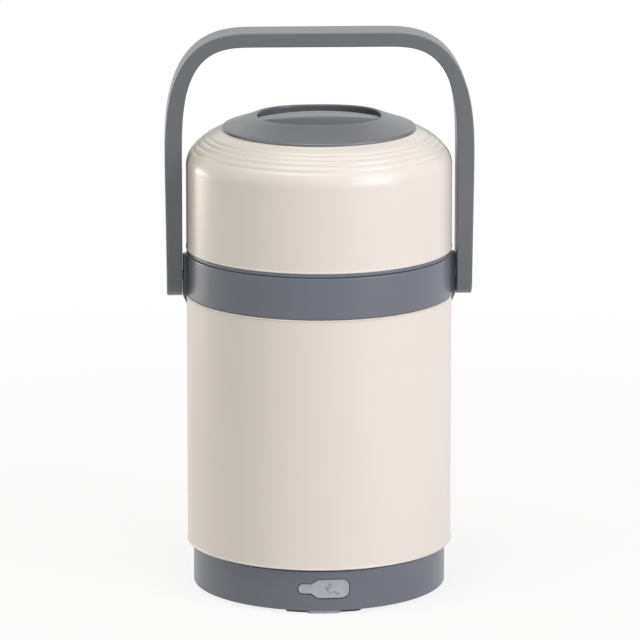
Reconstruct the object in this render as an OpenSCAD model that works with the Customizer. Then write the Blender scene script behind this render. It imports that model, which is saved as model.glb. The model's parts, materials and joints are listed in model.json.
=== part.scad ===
// Insulated electric lunch box: a tall round pot with a screw-on lid, a swinging
// bail handle, three stacked bowls, a heating plate and a mains inlet in the base.
// Millimetres. The origin is the centre of the footprint, +Z is up and the inlet
// faces -Y. The handle pivots on the X axis.

/* [Body] */
// Outside diameter of the body, collar and lid
body_d = 160; // [140:1:180]
// Height of the shell's lower edge above the table
shell_z0 = 28; // [25:0.5:36]
// Height of the cream shell that shows between base and collar
shell_h = 152.9; // [120:0.1:180]
// Wall of the outer shell
shell_wall = 2.2; // [1.8:0.1:2.6]
// Height of the grey collar
collar_h = 25.5; // [22:0.5:32]
// Wall of the collar
collar_wall = 3.5; // [3:0.1:4]
// How far the neck stands in from the body's outside
neck_step = 7.6; // [6.8:0.1:8]
// How far the neck stands above the collar
neck_h = 15.6; // [14.6:0.1:20]
// Wall of the neck ring
neck_wall = 2.4; // [2:0.1:3]

/* [Base] */
// How far the base stands in from the shell
base_step = 3.6; // [2.8:0.1:6]
// Wall of the base housing
base_wall = 2.6; // [2.2:0.1:3.2]
// Height of the base's edge above the table
foot_h = 2; // [1.5:0.1:3]
// Arc covered by one foot, degrees
foot_arc = 38; // [20:1:60]
// Radial width of a foot
foot_w = 8; // [6:0.5:10]
// Thickness of the bottom cover
cover_t = 2.4; // [2:0.1:2.8]
// How far the bottom screws stand outside the middle between element and wall
screw_shift = 0.1; // [-2:0.1:1]

/* [Inlet] */
// Height of the inlet's axis above the table
inlet_z = 15.6; // [15:0.1:17]
// Sideways place of the inlet's axis
inlet_x = 3.8; // [2:0.1:6]
// Width of the figure-eight socket
socket_w = 15.6; // [14.6:0.1:16]
// Height of the figure-eight socket
socket_h = 8.6; // [8.2:0.1:9]
// Depth of the socket
socket_depth = 13; // [11:0.5:15]
// Diameter of a contact pin
contact_d = 2.4; // [2.2:0.1:2.6]
// Distance between the contact pins
contact_gap = 8.6; // [8.2:0.1:9]
// Width of the flap over the socket
flap_w = 22.8; // [21.5:0.1:25]
// Height of the flap over the socket
flap_h = 11.6; // [11.4:0.1:13]
// Radius of the flap's two free corners
flap_corner_r = 3.7; // [2:0.1:5]
// Length of the cover's fixed tab
tab_w = 7.7; // [6.5:0.1:9]
// Height of the cover's fixed tab
tab_h = 6.1; // [5:0.1:8]
// Thickness of the rubber cover
flap_t = 1.4; // [1:0.1:1.8]

/* [Pot and bowls] */
// Space for the foam between the shell and the pot
jacket = 11.8; // [10.8:0.1:16]
// Wall of the steel pot
pot_wall = 0.8; // [0.6:0.1:1.2]
// Thickness of the heating plate
plate_t = 3; // [2.5:0.1:4]
// How far the heating plate stands in from the pot's outside
plate_inset = 10; // [8:0.5:16]
// Gap between the pot's inside and a bowl's rim
bowl_gap = 1.7; // [1:0.1:4]
// Wall of a bowl
bowl_wall = 0.8; // [0.6:0.1:1.2]
// Thickness of a bowl lid
bowl_lid_t = 5; // [4:0.5:6]
// Free height between the top bowl's lid and the liner
stack_gap = 5.8; // [3:0.1:12]

/* [Lid] */
// Height of the thin grey ring under the lid
lid_ring_h = 2.5; // [2:0.1:4]
// Height of the cream lid, from the grey ring to the cap's edge
lid_h = 72.2; // [60:0.1:85]
// Wall of the lid shell
lid_wall = 2.2; // [1.8:0.1:2.6]
// Radius of the rounded corner above the straight wall
lid_corner_r = 15.7; // [12:0.1:16]
// Radius of the arc of the shoulder
shoulder_r = 38; // [36:0.5:60]
// Slope of the shoulder at the cap's edge, degrees
shoulder_slope = 16; // [12:0.5:18]
// Width of the shoulder, from the cap's edge to the lid's outside
shoulder_w = 21.9; // [21:0.1:26]
// Number of grooves round the shoulder
groove_count = 4; // [1:1:4]
// Distance from the cap's edge to the first groove
groove_inset = 8.5; // [6:0.1:9]
// Radial distance between grooves
groove_step = 3.2; // [2.8:0.05:3.4]
// Depth of a groove
groove_depth = 0.7; // [0.4:0.1:0.9]
// Height of the cap from its lower edge to the lip of the well
cap_rise = 8.4; // [8:0.1:11]
// Width of the grip well in the cap
well_w = 74; // [68:1:78]
// Length of the grip well, front to back
well_l = 65; // [62:1:72]
// Depth of the grip well
well_depth = 7.1; // [6:0.1:7.5]
// Width of the grip bar that crosses the well
grip_w = 18.7; // [17:0.1:20]
// How far the bar's middle stands above the lip of the well
grip_rise = 0.7; // [0:0.1:1]
// How much lower the bar's ends are than its middle
grip_sag = 3; // [0.5:0.1:4]
// How much the bar narrows on each side towards its ends
grip_taper = 3.8; // [0:0.1:5]
// Lift of the lid in one full turn of its thread
thread_lead = 36; // [30:1:38]

/* [Handle] */
// Height of the handle's pivots above the collar's lower edge
pivot_rise = 11.1; // [9:0.1:13]
// Free height between the lid's lip and the handle's top bar
hand_gap = 43.1; // [40:0.1:60]
// Gap between the collar and the handle's arms
arm_gap = 2.5; // [2:0.1:6]
// Thickness of the handle's arms
arm_t = 10.3; // [9:0.1:14]
// How much thinner the arms are at the pivots
arm_taper = 0.9; // [0:0.1:1.5]
// Thickness of the handle's top bar
bar_t = 8.6; // [7:0.1:12]
// Depth of the handle, front to back
handle_depth = 25; // [20:0.5:28]
// Width of the bend between top bar and arm
bend_w = 54.8; // [48:0.1:70]
// Height of the bend between top bar and arm
bend_h = 79.2; // [60:0.1:90]
// Diameter of a pivot pin
pin_d = 6; // [5:0.1:7]
// Depth of the pivot bore in an arm
bore_depth = 6.5; // [5:0.1:7]
// Diameter of the hub round a pivot pin
hub_d = 10.4; // [9.6:0.1:11]

/* [Clearances] */
// Radial clearance of a pin in its bore
run_gap = 0.04; // [0.02:0.01:0.08]
// Gap between pieces that move past each other
move_gap = 0.3; // [0.25:0.05:0.5]
// Gap round pieces that are fitted and stay
fit_gap = 0.2; // [0.1:0.05:0.3]

/* [Hidden] */
$fn = 96;

cream = "#EDE4DB";
grey = "#6C7079";
steel = "#C9CCCF";
black = "#26282B";
white = "#E9E9E6";
tab_grey = "#A3A8B0";
foam = "#D9D2B8";
overcut = 1;

// Body, from the table upward
body_r = body_d / 2;
base_r = body_r - base_step;
base_in_r = base_r - base_wall;
shell_in_r = body_r - shell_wall;
collar_z = shell_z0 + shell_h;
collar_in_r = body_r - collar_wall;
ring_z = collar_z + collar_h;
neck_top = ring_z + neck_h;
neck_r = body_r - neck_step;
neck_in_r = neck_r - neck_wall;
deck_t = 3;
spigot_h = 7;
spigot_wall = 2.6;
spigot_r = shell_in_r - fit_gap;

// Base
foot_pad_t = 0.6;
cover_z = foot_h + foot_pad_t;
cover_top = cover_z + cover_t;
lip_t = 2;
seat_t = 2.2;
deck_in_base_t = 2;
base_top = shell_z0 + lip_t + seat_t + 1.8;
post_r = 4;
screw_r = 1.2;
screw_l = 13;
screw_head_r = 2.9;
screw_head_h = 1.4;
quarter_angles = [45, 135, 225, 315];
foot_angles = [0, 90, 180, 270];
foot_out_r = base_in_r - 1.2;
vent_slots = 7;
vent_slot_w = 3;
vent_slot_l = 28;
vent_slot_pitch = 7;

// Pot and bowls
plate_gap = 1;
plate_z = base_top + plate_gap;
pot_z = plate_z + plate_t;
pot_r = shell_in_r - jacket;
pot_in_r = pot_r - pot_wall;
pot_corner = 7;
pot_rim_t = 1;
pot_rim_over = 1.4;
rim_top = neck_top + pot_rim_t;
pot_seat_gap = 1;
pot_seat_t = 2;
pot_gasket_h = 3.5;
foam_gap = 3.2;
foam_end = 8;
gasket_t = 1.6;
liner_z = rim_top + gasket_t;
bowl_count = 3;
bowl_r = pot_in_r - bowl_gap;
bowl_z0 = pot_z + pot_wall;
bowl_pitch = (liner_z - stack_gap - bowl_z0) / bowl_count;
bowl_h = bowl_pitch - bowl_lid_t;
bowl_rim_w = 1;
bowl_rim_t = 2;
bowl_corner = 8;
bowl_lid_skin = 2;
bowl_lid_wall = 1.5;
seal_w = 3.5;

// Heater
plate_r = pot_r - plate_inset;
element_r = 30;
element_tube_r = 3;
touch_gap = 0.05;
clamp_t = 1.2;
clamp_z = plate_z - 2 * element_tube_r - touch_gap - clamp_t;
clamp_r = element_r + 5;
stud_r = 2;
nut_r = 4.2;
nut_h = 3.2;
thermostat_a = 200;
thermostat_x = 16;
thermostat_r = 6;
thermostat_h = 15;
tag_gap = 6;
tag_l = 4;
tag_z = plate_z - thermostat_h - tag_l / 2;
lead_angles = [250, 340];
lead_hole_r = 1.6;
fuse_r = 2;
fuse_l = 12;
fuse_p0 = [11, -9, clamp_z - fuse_r - touch_gap];
screw_ring_r = (base_in_r + element_r) / 2 + screw_shift;
shield_t = 0.8;
shield_flange = 3;
shield_r = screw_ring_r - post_r - 2;
shield_wall_r = shield_r - shield_flange;
shield_z = cover_top + 6;
notch_w = 24;
notch_h = 7;

// Inlet
recess_gap = 0.35;
recess_floor = 0.3;
proud = 0.2;
window_grow = 1.2;
block_wall = 1.6;
block_floor = 3;
inlet_front = fit_gap - sqrt(pow(base_in_r, 2) - pow(inlet_x + socket_w / 2 + block_wall + 0.4, 2));
inlet_back = inlet_front + socket_depth + block_floor;
contact_tail = 5;
contact_set_back = 4;
contact_back = inlet_back + contact_tail;
bracket_x = 14;
bracket_t = 1.2;
bracket_foot = 9;
bracket_w = 6;
small_screw_r = 1.1;
wire_r = 0.9;
stud_tab_r = 1.2;
barb_r = 2;
barb_t = 1.6;
chamfer_w = 3.8;
tab_x = inlet_x - flap_w / 2 - tab_w / 2 - move_gap / 2;

// Lid
lid_z = ring_z + lid_ring_h;
cap_r = body_r - shoulder_w;
cap_z = lid_z + lid_h;
cap_edge_t = 1.3;
cap_bevel = 0.7;
cap_skin = 2;
cap_top_z = cap_z + cap_edge_t + 0.5;
lip_z = cap_z + cap_rise;
lip_w = 1.2;
well_r = well_w / 2;
well_floor = lip_z - well_depth;
well_power = 2.4;
cap_slope_r = well_r + lip_w + 1;
cap_slope = (lip_z - 0.5 - cap_top_z) / (cap_r - cap_bevel - cap_slope_r);
groove_tool_r = 1.5;
liner_t = 1.6;
skirt_t = 2;
skirt_flange_t = 2;
thread_h = 1.5;
thread_w = 2.4;
thread_root = 0.3;
thread_play = 0.5;
thread_starts = 3;
thread_arc = 84;
thread_step = 6;
thread_z = ring_z + 5;
lid_thread_a0 = 36;
lid_thread_arc = 48;
skirt_in_r = neck_r + thread_h + thread_play;
skirt_out_r = skirt_in_r + skirt_t;
skirt_top = liner_z + liner_t + skirt_flange_t;
seat_in_r = cap_r - 14.1;
vent_y = well_l / 2 - 10;
vent_bore_r = 3.2;
vent_wall = 2;
vent_knob_r = 6.5;
vent_knob_h = 4;
vent_stem_l = 8;
lid_screw_ring_r = cap_r - 9.1;
lid_screw_head_r = 2.8;
lid_screw_head_h = 1.6;
lid_screw_l = 5.4;
boss_r = 3;

// The shoulder's arc ends at the cap's edge. The corner's arc touches it and the wall.
shoulder_c = [cap_r - shoulder_r * sin(shoulder_slope), cap_z - shoulder_r * cos(shoulder_slope)];
corner_x = body_r - lid_corner_r;
corner_z = shoulder_c[1] + sqrt(pow(shoulder_r - lid_corner_r, 2) - pow(corner_x - shoulder_c[0], 2));
corner_a = atan2(corner_z - shoulder_c[1], corner_x - shoulder_c[0]);

// Handle
pin_r = pin_d / 2;
pin_head_r = pin_r + 1.6;
pin_head_t = 1.5;
pin_end_gap = 0.5;
hub_r = hub_d / 2;
pivot_z = collar_z + pivot_rise;
arm_in_x = body_r + arm_gap;
handle_half_w = arm_in_x + arm_t;
arm_out_x = handle_half_w - arm_taper;
arm_end_r = handle_depth / 2;
handle_top = lip_z + hand_gap + bar_t;
bend_x = handle_half_w - bend_w;
bend_z = handle_top - bend_h;
outer_power = 2.8;
inner_power = 3.2;
lug_x = arm_in_x - move_gap;
lug_in_x = body_r - 3;
lug_w = 8;
lug_top = ring_z - 1.4;
lug_low = collar_z - 1.3;
lug_toe = 4.1;
lug_skin = 0.15;

// Points of a superellipse quarter, from angle a0 to a1
function quarter(cx, cz, rx, rz, power, a0, a1, steps) = [for (i = [0 : steps])
    let (a = a0 + (a1 - a0) * i / steps)
    [cx + rx * sign(cos(a)) * pow(abs(cos(a)), 2 / power),
     cz + rz * sign(sin(a)) * pow(abs(sin(a)), 2 / power)]];

// A ring of rectangular section
module ring(r_out, r_in, z0, h) {
    translate([0, 0, z0])
        difference() {
            cylinder(r = r_out, h = h);
            translate([0, 0, -overcut])
                cylinder(r = r_in, h = h + 2 * overcut);
        }
}

// An upright cylinder at an angle and a radius
module post(angle, radius, r, z0, h) {
    rotate([0, 0, angle])
        translate([radius, 0, z0])
            cylinder(r = r, h = h, $fn = 32);
}

// One helical thread ridge of right-hand lead, on the outside (side = 1) or the
// inside (side = -1) of radius r0, whose middle starts at height z0 and angle a0
module thread_ridge(r0, side, z0, a0, arc) {
    steps = round(arc / thread_step);
    root = r0 - side * thread_root;
    tip = r0 + side * thread_h;
    bevel = thread_w / 6;
    section = [[root, -thread_w / 2 - bevel], [tip, -thread_w / 2 + bevel],
        [tip, thread_w / 2 - bevel], [root, thread_w / 2 + bevel]];
    points = [for (i = [0 : steps])
        let (t = arc * i / steps)
        for (p = section)
            [p[0] * cos(a0 + t), p[0] * sin(a0 + t), z0 + p[1] + thread_lead * t / 360]];
    n = len(section);
    walls = [for (i = [0 : steps - 1])
        for (k = [0 : n - 1])
            let (a = i * n + k, b = i * n + (k + 1) % n)
            each [[a, b, a + n], [b, b + n, a + n]]];
    e = steps * n;
    faces = concat(walls, [[2, 1, 0], [3, 2, 0], [e, e + 1, e + 2], [e, e + 2, e + 3]]);
    polyhedron(points, side > 0 ? faces : [for (f = faces) reversed(f)]);
}

function reversed(p) = [for (i = [len(p) - 1 : -1 : 0]) p[i]];
function flipped(p) = [for (q = p) [-q[0], q[1]]];

// Point at an angle, a radius and a height
function polar(a, r, z) = [r * cos(a), r * sin(a), z];

// ---- Body ----

// Cream outer shell with a lip that holds the base
module outer_shell() {
    color(cream) {
        ring(body_r, shell_in_r, shell_z0, shell_h);
        ring(body_r, base_r + fit_gap, shell_z0, lip_t);
    }
}

// Grey collar with the two lugs that carry the handle
module collar() {
    color(grey)
        difference() {
            union() {
                ring(body_r, collar_in_r, collar_z, collar_h);
                ring(spigot_r, spigot_r - spigot_wall, collar_z - spigot_h, spigot_h + 1);
                ring(body_r - 1, neck_in_r, ring_z - deck_t, deck_t);
                for (side = [0, 1])
                    mirror([side, 0, 0])
                        lug();
            }
            for (side = [-1, 1])
                translate([side * lug_in_x, 0, pivot_z])
                    rotate([0, side * 90, 0]) {
                        translate([0, 0, -overcut])
                            cylinder(r = pin_r + run_gap, h = lug_x - lug_in_x + 2 * overcut);
                        translate([0, 0, -3 * pin_head_t])
                            cylinder(r = pin_head_r + fit_gap, h = 3 * pin_head_t);
                    }
        }
}

// One lug: a hub round the pin, backed by an upright rib
module lug() {
    skin_x = body_r + lug_skin;
    translate([0, lug_w / 2, 0])
        rotate([90, 0, 0])
            linear_extrude(height = lug_w)
                polygon([[lug_in_x, lug_top], [lug_x, lug_top], [lug_x, lug_low],
                    [skin_x, lug_low - lug_toe], [skin_x, collar_z], [lug_in_x, collar_z]]);
    translate([lug_in_x, 0, pivot_z])
        rotate([0, 90, 0])
            cylinder(r = hub_r, h = lug_x - lug_in_x);
}

// Neck with the thread that the lid screws onto, and the seat of the pot's rim
module neck_ring() {
    color(grey) {
        ring(neck_r, neck_in_r, ring_z, neck_h);
        ring(neck_in_r + 1, pot_r + pot_seat_gap, neck_top - pot_seat_t, pot_seat_t);
        for (i = [0 : thread_starts - 1])
            thread_ridge(neck_r, 1, thread_z, i * 360 / thread_starts, thread_arc);
    }
}

// Steel pins on which the handle turns
module pivot_pins() {
    pin_l = arm_in_x + bore_depth - pin_end_gap - lug_in_x + pin_head_t;
    color(steel)
        for (side = [-1, 1])
            translate([side * (lug_in_x - pin_head_t), 0, pivot_z])
                rotate([0, side * 90, 0]) {
                    cylinder(r = pin_head_r, h = pin_head_t);
                    cylinder(r = pin_r, h = pin_l);
                }
}

// Drawn steel pot with a rolled-out rim
module inner_pot() {
    rim_w = neck_in_r + pot_rim_over - pot_in_r;
    color(steel)
        rotate_extrude() {
            difference() {
                vessel_outline(pot_r, pot_z, pot_corner, rim_top);
                vessel_outline(pot_in_r, pot_z + pot_wall, pot_corner - pot_wall, rim_top + overcut);
            }
            translate([pot_in_r, neck_top])
                square([rim_w, pot_rim_t]);
        }
}

// Half section of a round vessel with a rounded bottom corner
module vessel_outline(r, z0, corner, z1) {
    translate([0, z0])
        square([r - corner, z1 - z0]);
    translate([0, z0 + corner])
        square([r, z1 - z0 - corner]);
    intersection() {
        translate([r - corner, z0 + corner])
            circle(r = corner, $fn = 64);
        translate([r - corner, z0])
            square(corner);
    }
}

// Silicone ring between the pot's wall and its seat
module pot_gasket() {
    color(white)
        ring(pot_r + pot_seat_gap - fit_gap, pot_r + touch_gap, neck_top - pot_gasket_h, pot_gasket_h);
}

// Foam sleeve between pot and shell
module pot_insulation() {
    foam_z = base_top + foam_end;
    color(foam)
        ring(shell_in_r - foam_gap, pot_r + 2 * fit_gap, foam_z, collar_z - foam_end - foam_z);
}

// ---- Base ----

// Outline of the flap seen along Y, grown by extra: two round corners at the free
// end and two slanted ones at the neck
module flap_outline(extra) {
    half_w = flap_w / 2;
    half_h = flap_h / 2;
    slant_x = chamfer_w - half_w;
    r = flap_corner_r;
    polygon([[-half_w - extra, -tab_h / 2 - extra], [slant_x, -half_h - extra],
        [half_w - r, -half_h - extra], [half_w - r, half_h + extra],
        [slant_x, half_h + extra], [-half_w - extra, tab_h / 2 + extra]]);
    translate([half_w - r - 1, r - half_h])
        square([r + 1 + extra, flap_h - 2 * r]);
    for (s = [-1, 1])
        translate([half_w - r, s * (half_h - r)])
            circle(r = r + extra);
}

// Outline of the fixed tab, with a round end
module tab_outline(extra) {
    r = tab_h / 2;
    translate([r - tab_w / 2, -r - extra])
        square([tab_w - r + extra, tab_h + 2 * extra]);
    translate([r - tab_w / 2, 0])
        circle(r = r + extra);
}

// Figure-eight socket outline, grown by extra
module socket_outline(extra) {
    r = socket_h / 2 + extra;
    reach = socket_w / 2 - socket_h / 2;
    for (s = [-1, 1])
        translate([s * reach, 0])
            circle(r = r);
    square([2 * reach, 2 * r], center = true);
}

// Piece of the base's wall zone between two radii, cut out by an outline along Y
module wall_piece(x, r_in, r_out) {
    intersection() {
        translate([x, 0, inlet_z])
            rotate([90, 0, 0])
                linear_extrude(height = base_r + 5)
                    children();
        ring(r_out, r_in, 0, base_top);
    }
}

// Grey base housing with the socket's window and the cover's recess
module base_housing() {
    recess_r = base_r - flap_t - recess_floor;
    deck_z = base_top - deck_in_base_t;
    color(grey)
        difference() {
            union() {
                ring(base_r, base_in_r, foot_h, base_top - foot_h);
                ring(shell_in_r - fit_gap, base_in_r, shell_z0 + lip_t, seat_t);
                ring(base_in_r + 0.5, shield_wall_r - shield_flange, deck_z, deck_in_base_t);
                for (a = quarter_angles)
                    post(a, screw_ring_r, post_r, cover_top, deck_z + 1 - cover_top);
            }
            wall_piece(inlet_x, recess_r, body_r)
                flap_outline(recess_gap);
            wall_piece(tab_x, recess_r, body_r)
                tab_outline(recess_gap);
            translate([inlet_x, 0, inlet_z])
                rotate([90, 0, 0])
                    linear_extrude(height = body_r)
                        socket_outline(window_grow);
            translate([tab_x, -base_in_r / 2, inlet_z])
                rotate([90, 0, 0])
                    cylinder(r = stud_tab_r + run_gap, h = base_r, $fn = 32);
            for (a = quarter_angles)
                post(a, screw_ring_r, screw_r, 0, cover_z + screw_l + 1);
        }
}

// Disc that closes the base from below
module bottom_cover() {
    color(grey)
        difference() {
            translate([0, 0, cover_z])
                cylinder(r = base_in_r - fit_gap, h = cover_t);
            for (a = quarter_angles) {
                post(a, screw_ring_r, screw_r + fit_gap, 0, cover_top + overcut);
                post(a, screw_ring_r, screw_head_r + move_gap, 0, cover_z + screw_head_h);
            }
            for (i = [0 : vent_slots - 1])
                translate([(i - (vent_slots - 1) / 2) * vent_slot_pitch - vent_slot_w / 2,
                    -vent_slot_l / 2, 0])
                    cube([vent_slot_w, vent_slot_l, cover_top + overcut]);
            for (s = [-1, 1])
                translate([inlet_x + s * bracket_x, inlet_back + contact_tail, cover_z + 0.3])
                    cylinder(r = small_screw_r + touch_gap, h = cover_t, $fn = 32);
        }
}

// Four screws that hold the bottom cover
module bottom_screws() {
    color(steel)
        for (a = quarter_angles) {
            post(a, screw_ring_r, screw_head_r, cover_z, screw_head_h);
            post(a, screw_ring_r, screw_r - touch_gap, cover_z, screw_l);
        }
}

// Rubber feet, glued under the bottom cover
module feet() {
    color(black)
        for (a = foot_angles)
            rotate([0, 0, a - 90 - foot_arc / 2])
                rotate_extrude(angle = foot_arc)
                    translate([foot_out_r - foot_w, 0])
                        square([foot_w, cover_z]);
}

// ---- Heater ----

// Aluminium plate under the pot
module heating_plate() {
    color("silver")
        translate([0, 0, plate_z])
            cylinder(r = plate_r, h = plate_t);
}

// Ring-shaped sheathed heating element under the plate
module heater_element() {
    color("#8A8D90")
        rotate_extrude()
            translate([element_r, plate_z - element_tube_r])
                circle(r = element_tube_r, $fn = 48);
}

// Steel dish that presses the element against the plate
module heater_clamp() {
    color(steel)
        difference() {
            translate([0, 0, clamp_z])
                cylinder(r = clamp_r, h = clamp_t);
            post(0, 0, stud_r + fit_gap, 0, plate_z);
            post(thermostat_a, thermostat_x, thermostat_r + move_gap, 0, plate_z);
            for (a = lead_angles)
                post(a, element_r, lead_hole_r, 0, plate_z);
        }
}

// Stud and nut that draw the dish up to the plate
module clamp_nut() {
    stud_z = clamp_z - nut_h - 1;
    color("silver") {
        translate([0, 0, stud_z])
            cylinder(r = stud_r, h = plate_z - stud_z);
        translate([0, 0, clamp_z - nut_h])
            cylinder(r = nut_r, h = nut_h, $fn = 6);
    }
}

// Disc thermostat that senses the plate
module thermostat() {
    tag_w = 4;
    tag_t = 0.8;
    color(black)
        rotate([0, 0, thermostat_a])
            translate([thermostat_x, 0, plate_z - thermostat_h]) {
                cylinder(r = thermostat_r, h = thermostat_h);
                for (s = [-1, 1])
                    translate([s * tag_gap / 2 - tag_t / 2, -tag_w / 2, -tag_l])
                        cube([tag_t, tag_w, tag_l + 1]);
            }
}

// One-shot fuse in a sleeve, held under the dish
module thermal_fuse() {
    color(white)
        translate(fuse_p0)
            rotate([0, 90, 0])
                cylinder(r = fuse_r, h = fuse_l, $fn = 32);
}

// Steel tray that keeps the heat off the base
module heat_shield() {
    hang_z = base_top - deck_in_base_t;
    color(steel)
        difference() {
            union() {
                translate([0, 0, shield_z])
                    cylinder(r = shield_wall_r, h = shield_t);
                ring(shield_wall_r, shield_wall_r - shield_t, shield_z, hang_z - shield_z);
                ring(shield_r, shield_wall_r - 0.5, hang_z - shield_t, shield_t);
            }
            translate([-notch_w / 2, -shield_r - 4, shield_z - overcut])
                cube([notch_w, 16, notch_h + overcut]);
        }
}

// ---- Inlet ----

// Moulded socket block behind the base's window
module power_inlet() {
    flange_w = socket_w + 6;
    flange_h = socket_h + 4;
    flange_t = 3;
    color(black)
        translate([inlet_x, 0, inlet_z])
            difference() {
                translate([0, inlet_back, 0])
                    rotate([90, 0, 0]) {
                        linear_extrude(height = inlet_back - inlet_front)
                            socket_outline(block_wall);
                        translate([0, 0, socket_depth - 2])
                            linear_extrude(height = flange_t)
                                square([flange_w, flange_h], center = true);
                    }
                translate([0, inlet_back - block_floor, 0])
                    rotate([90, 0, 0])
                        linear_extrude(height = socket_depth + overcut)
                            socket_outline(0);
                for (s = [-1, 1])
                    translate([s * contact_gap / 2, inlet_back + overcut, 0])
                        rotate([90, 0, 0])
                            cylinder(r = contact_d / 2 + run_gap, h = block_floor + 2 * overcut, $fn = 48);
            }
}

// Two contact pins with their tails
module inlet_contacts() {
    color("silver")
        for (s = [-1, 1])
            translate([inlet_x + s * contact_gap / 2, contact_back, inlet_z])
                rotate([90, 0, 0])
                    cylinder(r = contact_d / 2, h = contact_back - inlet_front - contact_set_back, $fn = 48);
}

// Strap that presses the socket block against the wall
module inlet_bracket() {
    strap_h = 8;
    leg_h = inlet_z + strap_h / 2 - cover_top;
    color(steel)
        difference() {
            for (s = [-1, 1])
                translate([inlet_x + s * bracket_x, inlet_back, cover_top]) {
                    translate([-bracket_w / 2, 0, 0])
                        cube([bracket_w, bracket_t, leg_h]);
                    translate([-bracket_w / 2, 0, 0])
                        cube([bracket_w, bracket_foot, bracket_t]);
                    translate([s > 0 ? -bracket_x : 0, 0, leg_h - strap_h])
                        cube([bracket_x, bracket_t, strap_h]);
                }
            for (s = [-1, 1]) {
                translate([inlet_x + s * contact_gap / 2, contact_back, inlet_z])
                    rotate([90, 0, 0])
                        cylinder(r = contact_d / 2 + 1, h = 2 * contact_tail, $fn = 32);
                translate([inlet_x + s * bracket_x, contact_back, 0])
                    cylinder(r = small_screw_r + fit_gap, h = inlet_z, $fn = 32);
            }
        }
}

// Screws that hold the strap to the bottom cover
module inlet_screws() {
    head_z = cover_top + bracket_t;
    head_h = 1.4;
    tip_z = cover_z + 0.4;
    color("silver")
        for (s = [-1, 1])
            translate([inlet_x + s * bracket_x, contact_back, 0]) {
                translate([0, 0, head_z])
                    cylinder(r = 2 * small_screw_r, h = head_h, $fn = 32);
                translate([0, 0, tip_z])
                    cylinder(r = small_screw_r, h = head_z - tip_z + 0.5, $fn = 32);
            }
}

// Direction of a path at point i
function heading(p, i) = let (d = p[min(i + 1, len(p) - 1)] - p[max(i - 1, 0)]) d / norm(d);

// A wire swept along the given points, with eight sides
module wire(p, r) {
    sides = 8;
    up = [0.1, 0.05, 1];
    rings = [for (i = [0 : len(p) - 1])
        let (t = heading(p, i), u = cross(t, up) / norm(cross(t, up)), v = cross(t, u))
        for (k = [0 : sides - 1])
            p[i] + r * cos(360 * k / sides) * u + r * sin(360 * k / sides) * v];
    walls = [for (i = [0 : len(p) - 2])
        for (k = [0 : sides - 1])
            let (a = i * sides + k, b = i * sides + (k + 1) % sides)
            each [[b, a, a + sides], [b, a + sides, b + sides]]];
    last = (len(p) - 1) * sides;
    ends = [for (k = [1 : sides - 2])
        each [[0, k, k + 1], [last, last + k + 1, last + k]]];
    polyhedron(rings, concat(walls, ends));
}

// Live wires: inlet to thermostat, thermostat to element
module live_wire() {
    tag_a = polar(thermostat_a, thermostat_x + tag_gap / 2, tag_z);
    tag_b = polar(thermostat_a, thermostat_x - tag_gap / 2, tag_z);
    joint_y = contact_back + wire_r - fit_gap;
    color("#8B4A2B") {
        wire([[inlet_x - contact_gap / 2, joint_y, inlet_z], [-3, joint_y + 4, inlet_z],
            [-15, -30, shield_z + 6], tag_a - [0, 1.5, 0]], wire_r);
        wire([tag_b - [0, 1.5, 0], polar(lead_angles[0], element_r - 6, clamp_z - 3),
            polar(lead_angles[0], element_r, clamp_z - 2),
            polar(lead_angles[0], element_r, clamp_z + clamp_t + 0.3)], wire_r);
    }
}

// Neutral wires: inlet to fuse, fuse to element
module neutral_wire() {
    joint_y = contact_back + wire_r - fit_gap;
    end_gap = [wire_r - fit_gap, 0, 0];
    color("#3B6EA5") {
        wire([[inlet_x + contact_gap / 2, joint_y, inlet_z], [9, joint_y + 5, inlet_z],
            [6, -22, shield_z + 9], fuse_p0 - end_gap], wire_r);
        wire([fuse_p0 + [fuse_l, 0, 0] + end_gap, polar(lead_angles[1], element_r, clamp_z - 2),
            polar(lead_angles[1], element_r, clamp_z + clamp_t + 0.3)], wire_r);
    }
}

// Fixed tab of the rubber cover, with a stud pushed through the base's wall
module cover_tab() {
    stud_end = fit_gap - sqrt(pow(base_in_r, 2) - pow(abs(tab_x) + barb_r, 2));
    stud_l = base_r - flap_t + stud_end;
    color(tab_grey) {
        wall_piece(tab_x, base_r - flap_t, base_r + proud)
            tab_outline(0);
        translate([tab_x, stud_end, inlet_z])
            rotate([90, 0, 0])
                cylinder(r = stud_tab_r, h = stud_l, $fn = 32);
        translate([tab_x, stud_end + barb_t, inlet_z])
            rotate([90, 0, 0])
                cylinder(r = barb_r, h = barb_t, $fn = 32);
    }
}

// Flap of the rubber cover, with the rib that plugs the window
module cover_flap() {
    skin_r = base_r - flap_t;
    rib_h = base_wall - flap_t + recess_floor;
    rib_gap = 0.5;
    color(tab_grey) {
        wall_piece(inlet_x, skin_r, base_r + proud)
            flap_outline(0);
        wall_piece(inlet_x, skin_r - rib_h, skin_r + proud)
            difference() {
                socket_outline(window_grow - rib_gap);
                socket_outline(window_grow - rib_gap - 1.2);
            }
    }
}

// ---- Bowls ----

// Steel bowl with a turned-out rim
module bowl(level) {
    z0 = bowl_z0 + level * bowl_pitch;
    r = bowl_r - bowl_rim_w;
    color(steel)
        rotate_extrude() {
            difference() {
                vessel_outline(r, z0, bowl_corner, z0 + bowl_h);
                vessel_outline(r - bowl_wall, z0 + bowl_wall, bowl_corner - bowl_wall, z0 + bowl_h + overcut);
            }
            translate([r - bowl_wall, z0 + bowl_h - bowl_rim_t])
                square([bowl_rim_w + bowl_wall, bowl_rim_t]);
        }
}

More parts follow.
